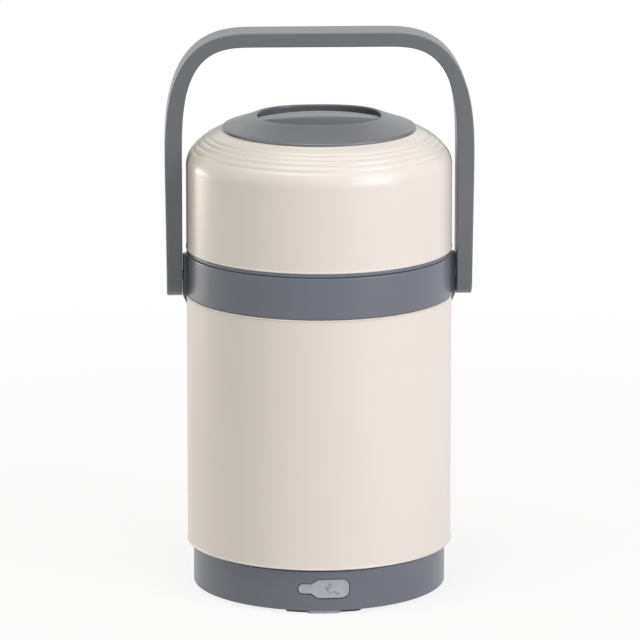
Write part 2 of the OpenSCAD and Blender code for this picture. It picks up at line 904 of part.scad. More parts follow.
// Plastic lid that stands on the bowl's rim
module bowl_lid(level) {
    z0 = bowl_z0 + level * bowl_pitch + bowl_h;
    inner_r = bowl_r - bowl_lid_wall - seal_w;
    color(white) {
        translate([0, 0, z0 + bowl_lid_t - bowl_lid_skin])
            cylinder(r = bowl_r, h = bowl_lid_skin);
        ring(bowl_r, bowl_r - bowl_lid_wall, z0, bowl_lid_t);
        ring(inner_r, inner_r - bowl_lid_wall, z0 - 1, bowl_lid_t);
    }
}

// Silicone seals in the bowl lids
module bowl_seals() {
    seal_r = bowl_r - bowl_lid_wall;
    color("#9FD0C8")
        for (level = [0 : bowl_count - 1])
            ring(seal_r, seal_r - seal_w, bowl_z0 + level * bowl_pitch + bowl_h, bowl_lid_t - bowl_lid_skin);
}

module bowl_lower() { bowl(0); }
module bowl_middle() { bowl(1); }
module bowl_upper() { bowl(2); }
module bowl_lid_lower() { bowl_lid(0); }
module bowl_lid_middle() { bowl_lid(1); }
module bowl_lid_upper() { bowl_lid(2); }

// ---- Lid ----

// Points of an arc about a centre
function arc_points(c, r, a0, a1, steps) = [for (i = [0 : steps])
    let (a = a0 + (a1 - a0) * i / steps)
    [c[0] + r * cos(a), c[1] + r * sin(a)]];

// Half section of the lid's outside, moved inward by a wall
function lid_section(wall) = concat(
    [[body_r - wall, lid_z]],
    arc_points([corner_x, corner_z], lid_corner_r - wall, 0, corner_a, 8),
    arc_points(shoulder_c, shoulder_r - wall, corner_a, 90 - shoulder_slope, 16));

// Cream lid shell with grooves round its shoulder
module lid_shell() {
    color(cream)
        difference() {
            rotate_extrude()
                difference() {
                    polygon(concat(lid_section(0), [[seat_in_r, cap_z], [seat_in_r, lid_z]]));
                    polygon(concat(lid_section(lid_wall), [[cap_r - 2, cap_z - lid_wall],
                        [0, cap_z - lid_wall], [0, lid_z - overcut], [body_r - lid_wall, lid_z - overcut]]));
                }
            rotate_extrude()
                for (i = [0 : groove_count - 1]) {
                    r = cap_r + groove_inset + i * groove_step;
                    a = acos((r - shoulder_c[0]) / shoulder_r);
                    tool_r = shoulder_r + groove_tool_r - groove_depth;
                    translate(shoulder_c + tool_r * [cos(a), sin(a)])
                        circle(r = groove_tool_r, $fn = 48);
                }
            for (a = quarter_angles)
                post(a, lid_screw_ring_r, screw_r + fit_gap, cap_z - 2 * lid_wall, 3 * lid_wall);
        }
}

// Grey ring under the lid with the threaded skirt inside
module lid_ring() {
    low_z = ring_z + move_gap;
    ridge_z = thread_z + thread_lead * lid_thread_a0 / 360 - thread_w;
    color(grey) {
        ring(body_r, skirt_in_r, low_z, lid_z - low_z);
        ring(skirt_out_r, skirt_in_r, low_z, skirt_top - low_z);
        ring(skirt_out_r, neck_in_r - 2, skirt_top - skirt_flange_t, skirt_flange_t);
        for (i = [0 : thread_starts - 1])
            thread_ridge(skirt_in_r, -1, ridge_z, i * 360 / thread_starts + lid_thread_a0, lid_thread_arc);
    }
}

// Superellipse outline of the grip well
module well_outline() {
    well_points = 60;
    polygon(quarter(0, 0, well_r, well_l / 2, well_power, 0, 360 - 360 / well_points, well_points - 1));
}

// Outline of the grip bar, narrower at its ends, which run into the well's wall
module grip_outline() {
    steps = 6;
    side = [for (i = [-steps : steps])
        [(well_r + 0.5) * i / steps, grip_w / 2 - grip_taper * pow(i / steps, 2)]];
    polygon(concat(side, [for (i = [2 * steps : -1 : 0]) [side[i][0], -side[i][1]]]));
}

// Hollow under the cap's slope, with bosses left for the screws
module cap_hollow() {
    in_r = cap_slope_r + 1.8;
    out_r = cap_r - 4;
    out_z = cap_top_z + cap_slope * (cap_r - cap_bevel - out_r) - cap_skin;
    boss_top = cap_top_z + cap_slope * (cap_r - cap_bevel - lid_screw_ring_r - boss_r) - 0.4;
    difference() {
        rotate_extrude()
            polygon([[in_r, cap_z - overcut], [out_r, cap_z - overcut], [out_r, out_z],
                [in_r, out_z + cap_slope * (out_r - in_r)]]);
        for (a = quarter_angles)
            post(a, lid_screw_ring_r, boss_r, cap_z, boss_top - cap_z);
    }
}

// Grey cap with the grip well and its bar
module lid_cap() {
    bar_radius = (pow(well_r, 2) + pow(grip_sag, 2)) / (2 * grip_sag);
    edge_z = cap_z + cap_edge_t;
    color(grey) {
        difference() {
            rotate_extrude()
                polygon([[0, cap_z], [cap_r, cap_z], [cap_r, edge_z], [cap_r - cap_bevel, cap_top_z],
                    [cap_slope_r, lip_z - 0.5], [well_r + lip_w, lip_z], [0, lip_z]]);
            translate([0, 0, well_floor])
                linear_extrude(height = well_depth + overcut)
                    well_outline();
            cap_hollow();
            for (a = quarter_angles)
                post(a, lid_screw_ring_r, screw_r + touch_gap, cap_z - overcut, 3.6);
            vent_hole(vent_bore_r, cap_z - overcut, cap_rise);
        }
        intersection() {
            translate([0, 0, well_floor - 0.5])
                linear_extrude(height = well_depth + grip_rise + 1)
                    grip_outline();
            translate([0, grip_w, lip_z + grip_rise - bar_radius])
                rotate([90, 0, 0])
                    cylinder(r = bar_radius, h = 2 * grip_w, $fn = 360);
        }
    }
}

// Upright hole of the steam vent
module vent_hole(r, z0, h) {
    translate([0, vent_y, z0])
        cylinder(r = r, h = h);
}

// Foam filling of the lid, in two steps
module lid_foam() {
    foam_top = cap_z - 6;
    color(foam)
        difference() {
            union() {
                translate([0, 0, skirt_top])
                    cylinder(r = shell_in_r - foam_gap, h = corner_z - skirt_top);
                translate([0, 0, corner_z - overcut])
                    cylinder(r = cap_r - 3, h = foam_top - corner_z + overcut);
            }
            vent_hole(vent_bore_r + vent_wall + fit_gap, skirt_top - overcut, lid_h);
        }
}

// Inner cover that faces the food
module lid_liner() {
    color(steel)
        difference() {
            translate([0, 0, liner_z])
                cylinder(r = skirt_in_r - fit_gap, h = liner_t);
            vent_hole(vent_bore_r, liner_z - overcut, liner_t + 2 * overcut);
        }
}

// Silicone ring that seals the lid on the pot's rim
module lid_gasket() {
    color(white)
        ring(skirt_in_r - 2.5, neck_in_r - 4, rim_top, gasket_t);
}

// Screws that hold the cap on the shell, driven from inside
module lid_screws() {
    seat_z = cap_z - lid_wall;
    color("silver")
        for (a = quarter_angles) {
            post(a, lid_screw_ring_r, lid_screw_head_r, seat_z - lid_screw_head_h, lid_screw_head_h);
            post(a, lid_screw_ring_r, screw_r, seat_z - 1, lid_screw_l);
        }
}

// Tube that leads steam from the liner up to the grip well
module vent_tube() {
    tube_z = liner_z + liner_t;
    color(white)
        translate([0, vent_y, 0])
            ring(vent_bore_r + vent_wall, vent_bore_r, tube_z, cap_z - tube_z);
}

// Pull-up plug of the steam vent
module vent_plug() {
    color(grey)
        translate([0, vent_y, 0]) {
            translate([0, 0, well_floor])
                cylinder(r = vent_knob_r, h = vent_knob_h);
            translate([0, 0, well_floor - vent_stem_l])
                cylinder(r = vent_bore_r - run_gap, h = vent_stem_l + 1);
        }
}

// ---- Handle ----

// Bail with full-round lower ends and a blind bore in each
module handle() {
    reach = handle_half_w + 10;
    color(grey)
        difference() {
            intersection() {
                translate([0, handle_depth / 2, 0])
                    rotate([90, 0, 0])
                        linear_extrude(height = handle_depth)
                            handle_outline();
                union() {
                    translate([-reach, -handle_depth / 2, pivot_z])
                        cube([2 * reach, handle_depth, handle_top]);
                    translate([-reach, 0, pivot_z])
                        rotate([0, 90, 0])
                            cylinder(r = arm_end_r, h = 2 * reach);
                }
            }
            for (side = [-1, 1])
                translate([side * (arm_in_x - overcut), 0, pivot_z])
                    rotate([0, side * 90, 0])
                        cylinder(r = pin_r + run_gap, h = bore_depth + overcut);
        }
}

// Bail outline seen along Y
module handle_outline() {
    steps = 22;
    outer = quarter(bend_x, bend_z, bend_w, bend_h, outer_power, 90, 0, steps);
    inner = quarter(bend_x, bend_z, arm_in_x - bend_x, bend_h - bar_t, inner_power, 90, 0, steps);
    foot_z = pivot_z - arm_end_r - overcut;
    right_out = concat(outer, [[arm_out_x, pivot_z], [arm_out_x, foot_z]]);
    right_in = concat(inner, [[arm_in_x, foot_z]]);
    polygon(concat(right_out, reversed(right_in), flipped(right_in), reversed(flipped(right_out))));
}

outer_shell();
collar();
neck_ring();
pivot_pins();
inner_pot();
pot_gasket();
pot_insulation();
base_housing();
bottom_cover();
bottom_screws();
feet();
heating_plate();
heater_element();
heater_clamp();
clamp_nut();
thermostat();
thermal_fuse();
heat_shield();
power_inlet();
inlet_contacts();
inlet_bracket();
inlet_screws();
live_wire();
neutral_wire();
cover_tab();
cover_flap();
bowl_lower();
bowl_middle();
bowl_upper();
bowl_lid_lower();
bowl_lid_middle();
bowl_lid_upper();
bowl_seals();
lid_shell();
lid_ring();
lid_cap();
lid_foam();
lid_liner();
lid_gasket();
lid_screws();
vent_tube();
vent_plug();
handle();
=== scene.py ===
import json
import math
import bpy
import bmesh
from mathutils import Matrix, Vector


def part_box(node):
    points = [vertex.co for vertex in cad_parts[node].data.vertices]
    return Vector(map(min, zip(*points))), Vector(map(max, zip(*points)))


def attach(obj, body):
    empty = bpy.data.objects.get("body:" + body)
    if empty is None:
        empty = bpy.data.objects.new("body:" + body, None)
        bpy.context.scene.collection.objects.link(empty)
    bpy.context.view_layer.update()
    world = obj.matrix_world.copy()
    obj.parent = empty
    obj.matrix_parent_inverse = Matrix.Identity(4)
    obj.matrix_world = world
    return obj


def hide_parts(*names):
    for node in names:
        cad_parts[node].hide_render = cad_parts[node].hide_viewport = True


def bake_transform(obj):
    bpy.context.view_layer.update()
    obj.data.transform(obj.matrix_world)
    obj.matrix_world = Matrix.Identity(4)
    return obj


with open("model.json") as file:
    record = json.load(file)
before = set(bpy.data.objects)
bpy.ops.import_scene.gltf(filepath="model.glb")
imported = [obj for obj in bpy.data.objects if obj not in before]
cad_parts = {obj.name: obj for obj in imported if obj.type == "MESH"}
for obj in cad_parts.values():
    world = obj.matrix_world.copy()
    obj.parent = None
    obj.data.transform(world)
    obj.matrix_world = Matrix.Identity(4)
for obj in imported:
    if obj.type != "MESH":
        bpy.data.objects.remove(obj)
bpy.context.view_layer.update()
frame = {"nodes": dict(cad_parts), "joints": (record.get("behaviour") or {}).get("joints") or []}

# ---- Camera and studio ----
# A tabletop product shot: a long lens looks down on the object from just left of its
# front. A broad soft box stands at the right front and another hangs over the top, a weak
# warm one fills the left, and a small one low behind the left draws the thin bright line
# down that side.


def colour(code):
    """A colour written as sRGB hex, turned to linear."""
    parts = [int(code[i:i + 2], 16) / 255 for i in (1, 3, 5)]
    return tuple(p / 12.92 if p <= 0.04045 else ((p + 0.055) / 1.055) ** 2.4 for p in parts) + (1.0,)


def add(tree, kind, into=None, **settings):
    """Adds a node with its settings. Each input gets a link or a value."""
    node = tree.nodes.new(kind)
    for key, value in settings.items():
        setattr(node, key, value)
    for socket, value in (into or {}).items():
        if isinstance(value, bpy.types.NodeSocket):
            tree.links.new(value, node.inputs[socket])
        else:
            node.inputs[socket].default_value = value
    return node


camera = bpy.data.objects.new("camera", bpy.data.cameras.new("camera"))
bpy.context.collection.objects.link(camera)
bpy.context.scene.camera = camera
camera.data.sensor_width = 36
camera.data.lens = 317.2
camera.data.clip_end = 30
camera_away = 3.324
camera_height = 0.925
camera_turn = math.radians(-2.2)
camera_dip = math.radians(12.91)
camera_nudge = math.radians(0.01)
camera.location = (camera_away * math.sin(camera_turn), -camera_away * math.cos(camera_turn),
                   camera_height)
camera.rotation_euler = (math.radians(90) - camera_dip, 0, camera_turn - camera_nudge)
bpy.context.scene.view_settings.view_transform = "Standard"


def softbox(name, azimuth, height, distance, width, tall, power, tint):
    """A soft box on a stand, turned to the middle of the object, in metres and watts."""
    lamp = bpy.data.lights.new(name, "AREA")
    lamp.shape = "RECTANGLE"
    lamp.size = width
    lamp.size_y = tall
    lamp.energy = power
    lamp.color = colour(tint)[:3]
    stand = bpy.data.objects.new(name, lamp)
    bpy.context.collection.objects.link(stand)
    turn = math.radians(azimuth)
    stand.location = (distance * math.sin(turn), -distance * math.cos(turn), height)
    aim = Vector((0, 0, 0.17)) - stand.location
    stand.rotation_euler = aim.to_track_quat("-Z", "Y").to_euler()


softbox("softbox_right", 48, 0.9, 1.9, 1.0, 1.4, 25, "#FDFAFF")
softbox("softbox_top", -35, 2.3, 0.6, 1.3, 1.3, 23.5, "#FAFFFB")
softbox("softbox_left", -76, 1.3, 1.9, 0.9, 2.4, 5.0, "#FFF6E4")
softbox("strip_left", -125, 0.0, 1.4, 0.42, 0.56, 8.2, "#FFF4EC")


def empty_tree(owner):
    """The node tree of a world or material, switched on and cleared."""
    owner.use_nodes = True
    owner.node_tree.nodes.clear()
    return owner.node_tree


def seen_directly(tree):
    """One for rays from the camera, a reflection or a refraction, else nought."""
    path = add(tree, "ShaderNodeLightPath").outputs
    seen = add(tree, "ShaderNodeMath", {0: path["Is Camera Ray"], 1: path["Is Glossy Ray"]},
               operation="MAXIMUM")
    seen = add(tree, "ShaderNodeMath", {0: seen.outputs[0], 1: path["Is Transmission Ray"]},
               operation="MAXIMUM")
    return seen.outputs[0]


world = bpy.data.worlds.new("studio")
bpy.context.scene.world = world
tree = empty_tree(world)
room = add(tree, "ShaderNodeBackground", {"Color": colour("#FFFFFF"), "Strength": 0.2})
backdrop = add(tree, "ShaderNodeBackground", {"Color": colour("#FFFFFF"), "Strength": 1.0})
both = add(tree, "ShaderNodeMixShader", {0: seen_directly(tree), 1: room.outputs[0],
           2: backdrop.outputs[0]})
add(tree, "ShaderNodeOutputWorld", {"Surface": both.outputs[0]})

table = bpy.data.meshes.new("table")
table.from_pydata([(-9, -9, 0), (9, -9, 0), (9, 9, 0), (-9, 9, 0)], [], [(0, 1, 2, 3)])
table = bpy.data.objects.new("table", table)
bpy.context.collection.objects.link(table)
white_card = bpy.data.materials.new("white card")
tree = empty_tree(white_card)
# Round the object the card keeps its shadow. Further out it fades into the white backdrop.
away = add(tree, "ShaderNodeVectorMath", {0: add(tree, "ShaderNodeTexCoord").outputs["Object"]},
           operation="LENGTH")
share = add(tree, "ShaderNodeMapRange", {0: away.outputs["Value"], 1: 0.12, 2: 0.9, 3: 0.86, 4: 1.0},
            interpolation_type="SMOOTHSTEP")
share = add(tree, "ShaderNodeMath", {0: seen_directly(tree), 1: share.outputs[0]}, operation="MULTIPLY")
card = add(tree, "ShaderNodeBsdfDiffuse", {"Color": colour("#F2F1EF")})
glow = add(tree, "ShaderNodeEmission", {"Color": colour("#FFFFFF"), "Strength": 1.0})
both = add(tree, "ShaderNodeMixShader", {0: share.outputs[0], 1: card.outputs[0], 2: glow.outputs[0]})
add(tree, "ShaderNodeOutputMaterial", {"Surface": both.outputs[0]})
table.data.materials.append(white_card)

# ---- Outer shell ----
# The shell is a straight tube of cream ABS, injection-moulded with a satin gloss. Each of
# its open edges carries a fine rounded bead that shows as a bright line, and a lip
# turned in at the bottom clips over the base.


def extent(node):
    """How far a CAD node reaches in mm: out to the right, down and up."""
    low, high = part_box(node)
    return round(high.x * 1000, 1), round(low.z * 1000, 1), round(high.z * 1000, 1)


def rounded(corners, steps=5):
    """An outline in mm with round corners. Each corner is (x, y, radius)."""
    points = []
    for i, (x, y, radius) in enumerate(corners):
        here = Vector((x, y))
        back = Vector(corners[i - 1][:2]) - here
        ahead = Vector(corners[(i + 1) % len(corners)][:2]) - here
        if not radius:
            points.append(here)
            continue
        half = back.angle(ahead) / 2
        reach = min(radius / math.tan(half), 0.45 * back.length, 0.45 * ahead.length)
        radius = reach * math.tan(half)
        back.normalize()
        ahead.normalize()
        centre = here + (back + ahead).normalized() * radius / math.sin(half)
        first = here + back * reach - centre
        last = here + ahead * reach - centre
        points.append(centre + first + back * 0.2)
        points += [centre + first.lerp(last, k / steps).normalized() * radius for k in range(steps + 1)]
        points.append(centre + last + ahead * 0.2)
    return points


def named_inputs(tree, sockets):
    """Gives a tree its named inputs and its output."""
    for name, kind, start in sockets:
        socket = tree.interface.new_socket(name=name, in_out="INPUT", socket_type="NodeSocket" + kind)
        if start is not None:
            socket.default_value = start
    tree.interface.new_socket(name="Geometry", in_out="OUTPUT", socket_type="NodeSocketGeometry")


turning = bpy.data.node_groups.new("Turned moulding", "GeometryNodeTree")
named_inputs(turning, [("Geometry", "Geometry", None), ("Steps round", "Int", 288),
             ("Shoulder centre", "Vector", (0, 0, 0)), ("Shoulder radius", "Float", 9.0),
             ("Groove count", "Int", 1), ("First groove", "Float", 9.0), ("Groove step", "Float", 1.0),
             ("Groove depth", "Float", 0.0), ("Groove width", "Float", 1.0), ("Finish", "Material", None)])
given = add(turning, "NodeGroupInput").outputs
# Each profile point sinks towards the shoulder's centre by the groove that is nearest.
point = add(turning, "GeometryNodeInputPosition").outputs[0]
radius = add(turning, "ShaderNodeSeparateXYZ", {0: point}).outputs[0]
out = add(turning, "ShaderNodeMath", {0: radius, 1: given["First groove"]}, operation="SUBTRACT").outputs[0]
turn = add(turning, "ShaderNodeMath", {0: out, 1: given["Groove step"]}, operation="DIVIDE").outputs[0]
turn = add(turning, "ShaderNodeMath", {0: turn}, operation="ROUND").outputs[0]
last = add(turning, "ShaderNodeMath", {0: given["Groove count"], 1: 1.0}, operation="SUBTRACT").outputs[0]
turn = add(turning, "ShaderNodeMath", {0: turn, 1: last}, operation="MINIMUM").outputs[0]
turn = add(turning, "ShaderNodeMath", {0: turn, 1: 0.0}, operation="MAXIMUM").outputs[0]
near = add(turning, "ShaderNodeMath", {0: turn, 1: given["Groove step"]}, operation="MULTIPLY").outputs[0]
off = add(turning, "ShaderNodeMath", {0: out, 1: near}, operation="SUBTRACT").outputs[0]
off = add(turning, "ShaderNodeMath", {0: off}, operation="ABSOLUTE").outputs[0]
off = add(turning, "ShaderNodeMath", {0: off, 1: given["Groove width"]}, operation="DIVIDE").outputs[0]
dip = add(turning, "ShaderNodeMath", {0: 1.0, 1: off}, operation="SUBTRACT").outputs[0]
dip = add(turning, "ShaderNodeMath", {0: dip, 1: 0.0}, operation="MAXIMUM").outputs[0]
dip = add(turning, "ShaderNodeMath", {0: dip, 1: 2.0}, operation="POWER").outputs[0]
dip = add(turning, "ShaderNodeMath", {0: dip, 1: given["Groove depth"]}, operation="MULTIPLY").outputs[0]
arm = add(turning, "ShaderNodeVectorMath", {0: point, 1: given["Shoulder centre"]},
          operation="SUBTRACT").outputs[0]
reach = add(turning, "ShaderNodeVectorMath", {0: arm}, operation="LENGTH").outputs["Value"]
skin = add(turning, "ShaderNodeMath", {0: given["Shoulder radius"], 1: 0.0003},
           operation="SUBTRACT").outputs[0]
skin = add(turning, "ShaderNodeMath", {0: reach, 1: skin}, operation="GREATER_THAN").outputs[0]
dip = add(turning, "ShaderNodeMath", {0: dip, 1: skin}, operation="MULTIPLY").outputs[0]
dip = add(turning, "ShaderNodeMath", {0: dip, 1: -1.0}, operation="MULTIPLY").outputs[0]
arm = add(turning, "ShaderNodeVectorMath", {0: arm}, operation="NORMALIZE").outputs[0]
sink = add(turning, "ShaderNodeVectorMath", {0: arm, "Scale": dip}, operation="SCALE").outputs[0]
profile = add(turning, "GeometryNodeSetPosition", {"Geometry": given["Geometry"], "Offset": sink}).outputs[0]
# A grid takes the profile along one side and the turn along the other.
count = add(turning, "GeometryNodeAttributeDomainSize", {"Geometry": profile}).outputs["Point Count"]
steps = add(turning, "ShaderNodeMath", {0: given["Steps round"], 1: 1.0}, operation="ADD").outputs[0]
grid = add(turning, "GeometryNodeMeshGrid", {"Size X": 1.0, "Size Y": 1.0, "Vertices X": steps,
           "Vertices Y": count}).outputs[0]
spot = add(turning, "ShaderNodeSeparateXYZ", {0: add(turning, "GeometryNodeInputPosition").outputs[0]})
turn = add(turning, "ShaderNodeMath", {0: spot.outputs[0], 1: 0.5}, operation="ADD").outputs[0]
turn = add(turning, "ShaderNodeMath", {0: turn, 1: math.tau}, operation="MULTIPLY").outputs[0]
last = add(turning, "ShaderNodeMath", {0: count, 1: 1.0}, operation="SUBTRACT").outputs[0]
index = add(turning, "ShaderNodeMath", {0: spot.outputs[1], 1: 0.5}, operation="ADD").outputs[0]
index = add(turning, "ShaderNodeMath", {0: index, 1: last}, operation="MULTIPLY").outputs[0]
index = add(turning, "ShaderNodeMath", {0: index}, operation="ROUND").outputs[0]
taken = add(turning, "GeometryNodeSampleIndex", {"Geometry": profile, "Value": point, "Index": index},
            data_type="FLOAT_VECTOR").outputs[0]
taken = add(turning, "ShaderNodeSeparateXYZ", {0: taken})
east = add(turning, "ShaderNodeMath", {0: turn}, operation="COSINE").outputs[0]
east = add(turning, "ShaderNodeMath", {0: east, 1: taken.outputs[0]}, operation="MULTIPLY").outputs[0]
north = add(turning, "ShaderNodeMath", {0: turn}, operation="SINE").outputs[0]
north = add(turning, "ShaderNodeMath", {0: north, 1: taken.outputs[0]}, operation="MULTIPLY").outputs[0]
spot = add(turning, "ShaderNodeCombineXYZ", {0: east, 1: north, 2: taken.outputs[2]}).outputs[0]
made = add(turning, "GeometryNodeSetPosition", {"Geometry": grid, "Position": spot}).outputs[0]
made = add(turning, "GeometryNodeMergeByDistance", {"Geometry": made, "Distance": 0.000008}).outputs[0]
made = add(turning, "GeometryNodeRealizeInstances", {"Geometry": made}).outputs[0]
made = add(turning, "GeometryNodeSetMaterial", {"Geometry": made, "Material": given["Finish"]}).outputs[0]
add(turning, "NodeGroupOutput", {0: made})


def crisp(obj, degrees=36):
    """Faces turned outwards and shaded smooth, with the sharp corners kept."""
    work = bmesh.new()
    work.from_mesh(obj.data)
    bmesh.ops.recalc_face_normals(work, faces=work.faces)
    if work.calc_volume(signed=True) < 0:
        bmesh.ops.reverse_faces(work, faces=work.faces)
    for f in work.faces:
        f.smooth = True
    for e in work.edges:
        e.smooth = not (len(e.link_faces) == 2 and e.calc_face_angle(0) > math.radians(degrees))
    work.to_mesh(obj.data)
    work.free()
    return obj


def new_piece(name, points, faces=(), edges=()):
    """A mesh object from points in mm, in the object's own frame."""
    mesh = bpy.data.meshes.new(name)
    mesh.from_pydata([Vector(p) * 0.001 for p in points], list(edges), list(faces))
    obj = bpy.data.objects.new(name, mesh)
    bpy.context.collection.objects.link(obj)
    return obj


def worked(obj, tree, **inputs):
    """Runs a tree on a piece and keeps what it makes as a plain mesh."""
    step = obj.modifiers.new("work", "NODES")
    step.node_group = tree
    for item in tree.interface.items_tree:
        if item.item_type == "SOCKET" and item.in_out == "INPUT" and item.name.replace(" ", "_") in inputs:
            step[item.identifier] = inputs[item.name.replace(" ", "_")]
    return as_plain(obj)


def as_plain(obj):
    """The piece's modifiers are worked into its mesh and taken away."""
    ready = obj.evaluated_get(bpy.context.evaluated_depsgraph_get())
    obj.data = bpy.data.meshes.new_from_object(ready)
    obj.modifiers.clear()
    return obj


def turned(name, outline, finish, closed=True, **inputs):
    """A piece turned round the upright axis from its outline of (radius, height) in mm."""
    points = [(p[0], 0, p[1]) for p in list(outline) + (list(outline)[:1] if closed else [])]
    obj = new_piece(name, points, edges=[(i, i + 1) for i in range(len(points) - 1)])
    return crisp(worked(obj, turning, Finish=finish, **inputs))


def moulded(name, code, drift_code, roughness, grain, relief):
    """Injection-moulded plastic. The mould's fine spark-eroded grain is in mm."""
    material = bpy.data.materials.new(name)
    tree = empty_tree(material)
    place = add(tree, "ShaderNodeTexCoord").outputs["Object"]
    flow = add(tree, "ShaderNodeTexNoise", {"Vector": place, "Scale": 14.0, "Detail": 3.0, "Roughness": 0.6})
    tone = add(tree, "ShaderNodeMix", {0: flow.outputs[0], 6: colour(code), 7: colour(drift_code)},
               data_type="RGBA")
    pits = add(tree, "ShaderNodeTexNoise", {"Vector": place, "Scale": 1000 / grain, "Detail": 2.0})
    bump = add(tree, "ShaderNodeBump", {"Height": pits.outputs[0], "Strength": 0.5,
               "Distance": relief / 1000})
    dull = add(tree, "ShaderNodeMapRange", {0: pits.outputs[0], 3: roughness - 0.04, 4: roughness + 0.05})
    shell = add(tree, "ShaderNodeBsdfPrincipled", {"Base Color": tone.outputs[2],
                "Roughness": dull.outputs[0], "Normal": bump.outputs[0]})
    shell.inputs["IOR"].default_value = 1.54
    add(tree, "ShaderNodeOutputMaterial", {0: shell.outputs[0]})
    return material


def fitted(obj, body, slot, *nodes):
    """The piece rides on its body and stands for its CAD nodes. It takes no finish here, and its slot is not
    used.
    """
    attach(obj, body)
    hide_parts(*nodes)


# Cream ABS: satin, so it shows broad soft lights and no sharp picture of the room. The
# mould's grain is 0.15 mm and wouldn't show, so it is drawn at 0.9 mm.
cream_abs = moulded("cream ABS", "#EAE2DB", "#E6DDD4", 0.33, 0.9, 0.006)
shell_r, shell_low, shell_top = extent("outer_shell")
shell_bore = shell_r - 2.2
shell_lip = shell_r - 3.4
low_bead = shell_r + 0.35
top_bead = shell_r + 0.3
shell = turned("shell_moulding", rounded([
    (shell_r - 0.3, shell_low, 0.3), (low_bead, shell_low + 0.2, 0.3), (low_bead, shell_low + 0.9, 0.3),
    (shell_r, shell_low + 1.4, 0.5), (shell_r, shell_top - 1.2, 0.5), (top_bead, shell_top - 0.8, 0.3),
    (top_bead, shell_top - 0.3, 0.2), (shell_r - 0.2, shell_top, 0.2), (shell_bore, shell_top, 0.3),
    (shell_bore, shell_low + 2, 0.3), (shell_lip, shell_low + 2, 0.3), (shell_lip, shell_low, 0.5)]),
    cream_abs)
fitted(shell, "body", "cream_shell", "outer_shell")

# ---- Collar ----
# A grey ABS ring closes the shell's top. It is moulded with the deck that carries the
# neck, a spigot that drops into the shell, and a lug on each side with the hub on which
# the handle turns.


def lofted(name, loops, finish):
    """A closed skin over loops of points in mm, with the end loops closed."""
    n = len(loops[0])
    points = [p for loop in loops for p in loop]
    faces = [(i * n + k, i * n + (k + 1) % n, (i + 1) * n + (k + 1) % n, (i + 1) * n + k)
             for i in range(len(loops) - 1) for k in range(n)]
    faces += [tuple(range(n - 1, -1, -1)), tuple(range((len(loops) - 1) * n, len(loops) * n))]
    obj = new_piece(name, points, faces)
    work = bmesh.new()
    work.from_mesh(obj.data)
    bmesh.ops.remove_doubles(work, verts=work.verts, dist=0.000004)
    bmesh.ops.dissolve_degenerate(work, dist=0.000002, edges=work.edges)
    work.to_mesh(obj.data)
    work.free()
    obj.data.materials.append(finish)
    return crisp(obj)


def joined(name, finish, *pieces):
    """Several meshes made one piece."""
    work = bmesh.new()
    for piece in pieces:
        work.from_mesh(piece.data)
    for f in work.faces:
        f.material_index = 0
    mesh = bpy.data.meshes.new(name)
    work.to_mesh(mesh)
    work.free()
    mesh.materials.append(finish)
    obj = bpy.data.objects.new(name, mesh)
    bpy.context.collection.objects.link(obj)
    for piece in pieces:
        bpy.data.objects.remove(piece)
    return obj


# Grey ABS: the same satin plastic, dyed a cool slate grey.
grey_abs = moulded("slate grey ABS", "#6A6F79", "#676B75", 0.31, 0.9, 0.006)
lug_face, spigot_low, collar_top = extent("collar")
deck_bore = 70
spigot_r = shell_bore - 0.2
spigot_bore = 75
collar_bore = shell_r - 3.5
collar = turned("collar_ring", rounded([
    (shell_r, shell_top, 1.3), (shell_r, collar_top, 0.8), (deck_bore, collar_top, 0.3),
    (deck_bore, collar_top - 3, 0.3), (collar_bore, collar_top - 3, 0.5), (collar_bore, shell_top + 1, 0.3),
    (spigot_bore, shell_top + 1, 0.3), (spigot_bore, spigot_low, 0.3), (spigot_r, spigot_low, 0.6),
    (spigot_r, shell_top, 0)]), grey_abs)
# Each lug is a flat strip that widens to the hub and slopes back into the wall at its foot.
pivot_z = next(j["pos_m"][2] for j in frame["joints"] if j["name"] == "handle_swing") * 1000
hub_r = 5.2
strip_half = 4.0
lug_low = 175.4
lug_steps = 74
lugs = []
for side in (-1, 1):
    loops = []
    for step in range(lug_steps + 1):
        z = lug_low + step * 0.4
        hub = hub_r ** 2 - (z - pivot_z) ** 2
        foot = max(0.0, 1 - step / 2) ** 2
        head = max(0.0, 1 - (lug_steps - step) / 2) ** 2
        wide = max(strip_half, math.sqrt(max(0.0, hub))) - 0.6 * foot - 0.6 * head
        proud = lug_face - max(0.0, lug_low + 4.2 - z) * 0.5 - 0.8 * head
        inner = shell_r + 0.12 if z < shell_top + 0.3 else shell_r - 2
        loops.append([(side * p[0], p[1], z) for p in rounded([(inner, -wide, 0.05),
                     (proud, -wide, 0.7), (proud, wide, 0.7), (inner, wide, 0.05)])])
    lugs.append(lofted("lug", loops, grey_abs))
collar = joined("collar_moulding", grey_abs, collar, *lugs)
fitted(collar, "body", "grey_trim", "collar")

# ---- Neck ----
# The threaded neck stands on the collar's deck and carries the pot's rim. It is grey
# ABS with a three-start thread of round-crested ridges, which pulls the lid down in
# under a quarter of a turn.
ridging = bpy.data.node_groups.new("Thread ridge", "GeometryNodeTree")
named_inputs(ridging, [("Geometry", "Geometry", None), ("Wall radius", "Float", 0.07),
             ("Outward", "Float", 1.0), ("Height", "Float", 0.0015), ("Width", "Float", 0.0024),
             ("Lead", "Float", 0.036), ("Arc", "Float", 1.4),
             ("First angle", "Float", 0.0), ("First height", "Float", 0.2), ("Finish", "Material", None)])
given = add(ridging, "NodeGroupInput").outputs
grid = add(ridging, "GeometryNodeMeshGrid", {"Size X": 1.0, "Size Y": 1.0, "Vertices X": 97,
           "Vertices Y": 17}).outputs[0]
spot = add(ridging, "ShaderNodeSeparateXYZ", {0: add(ridging, "GeometryNodeInputPosition").outputs[0]})
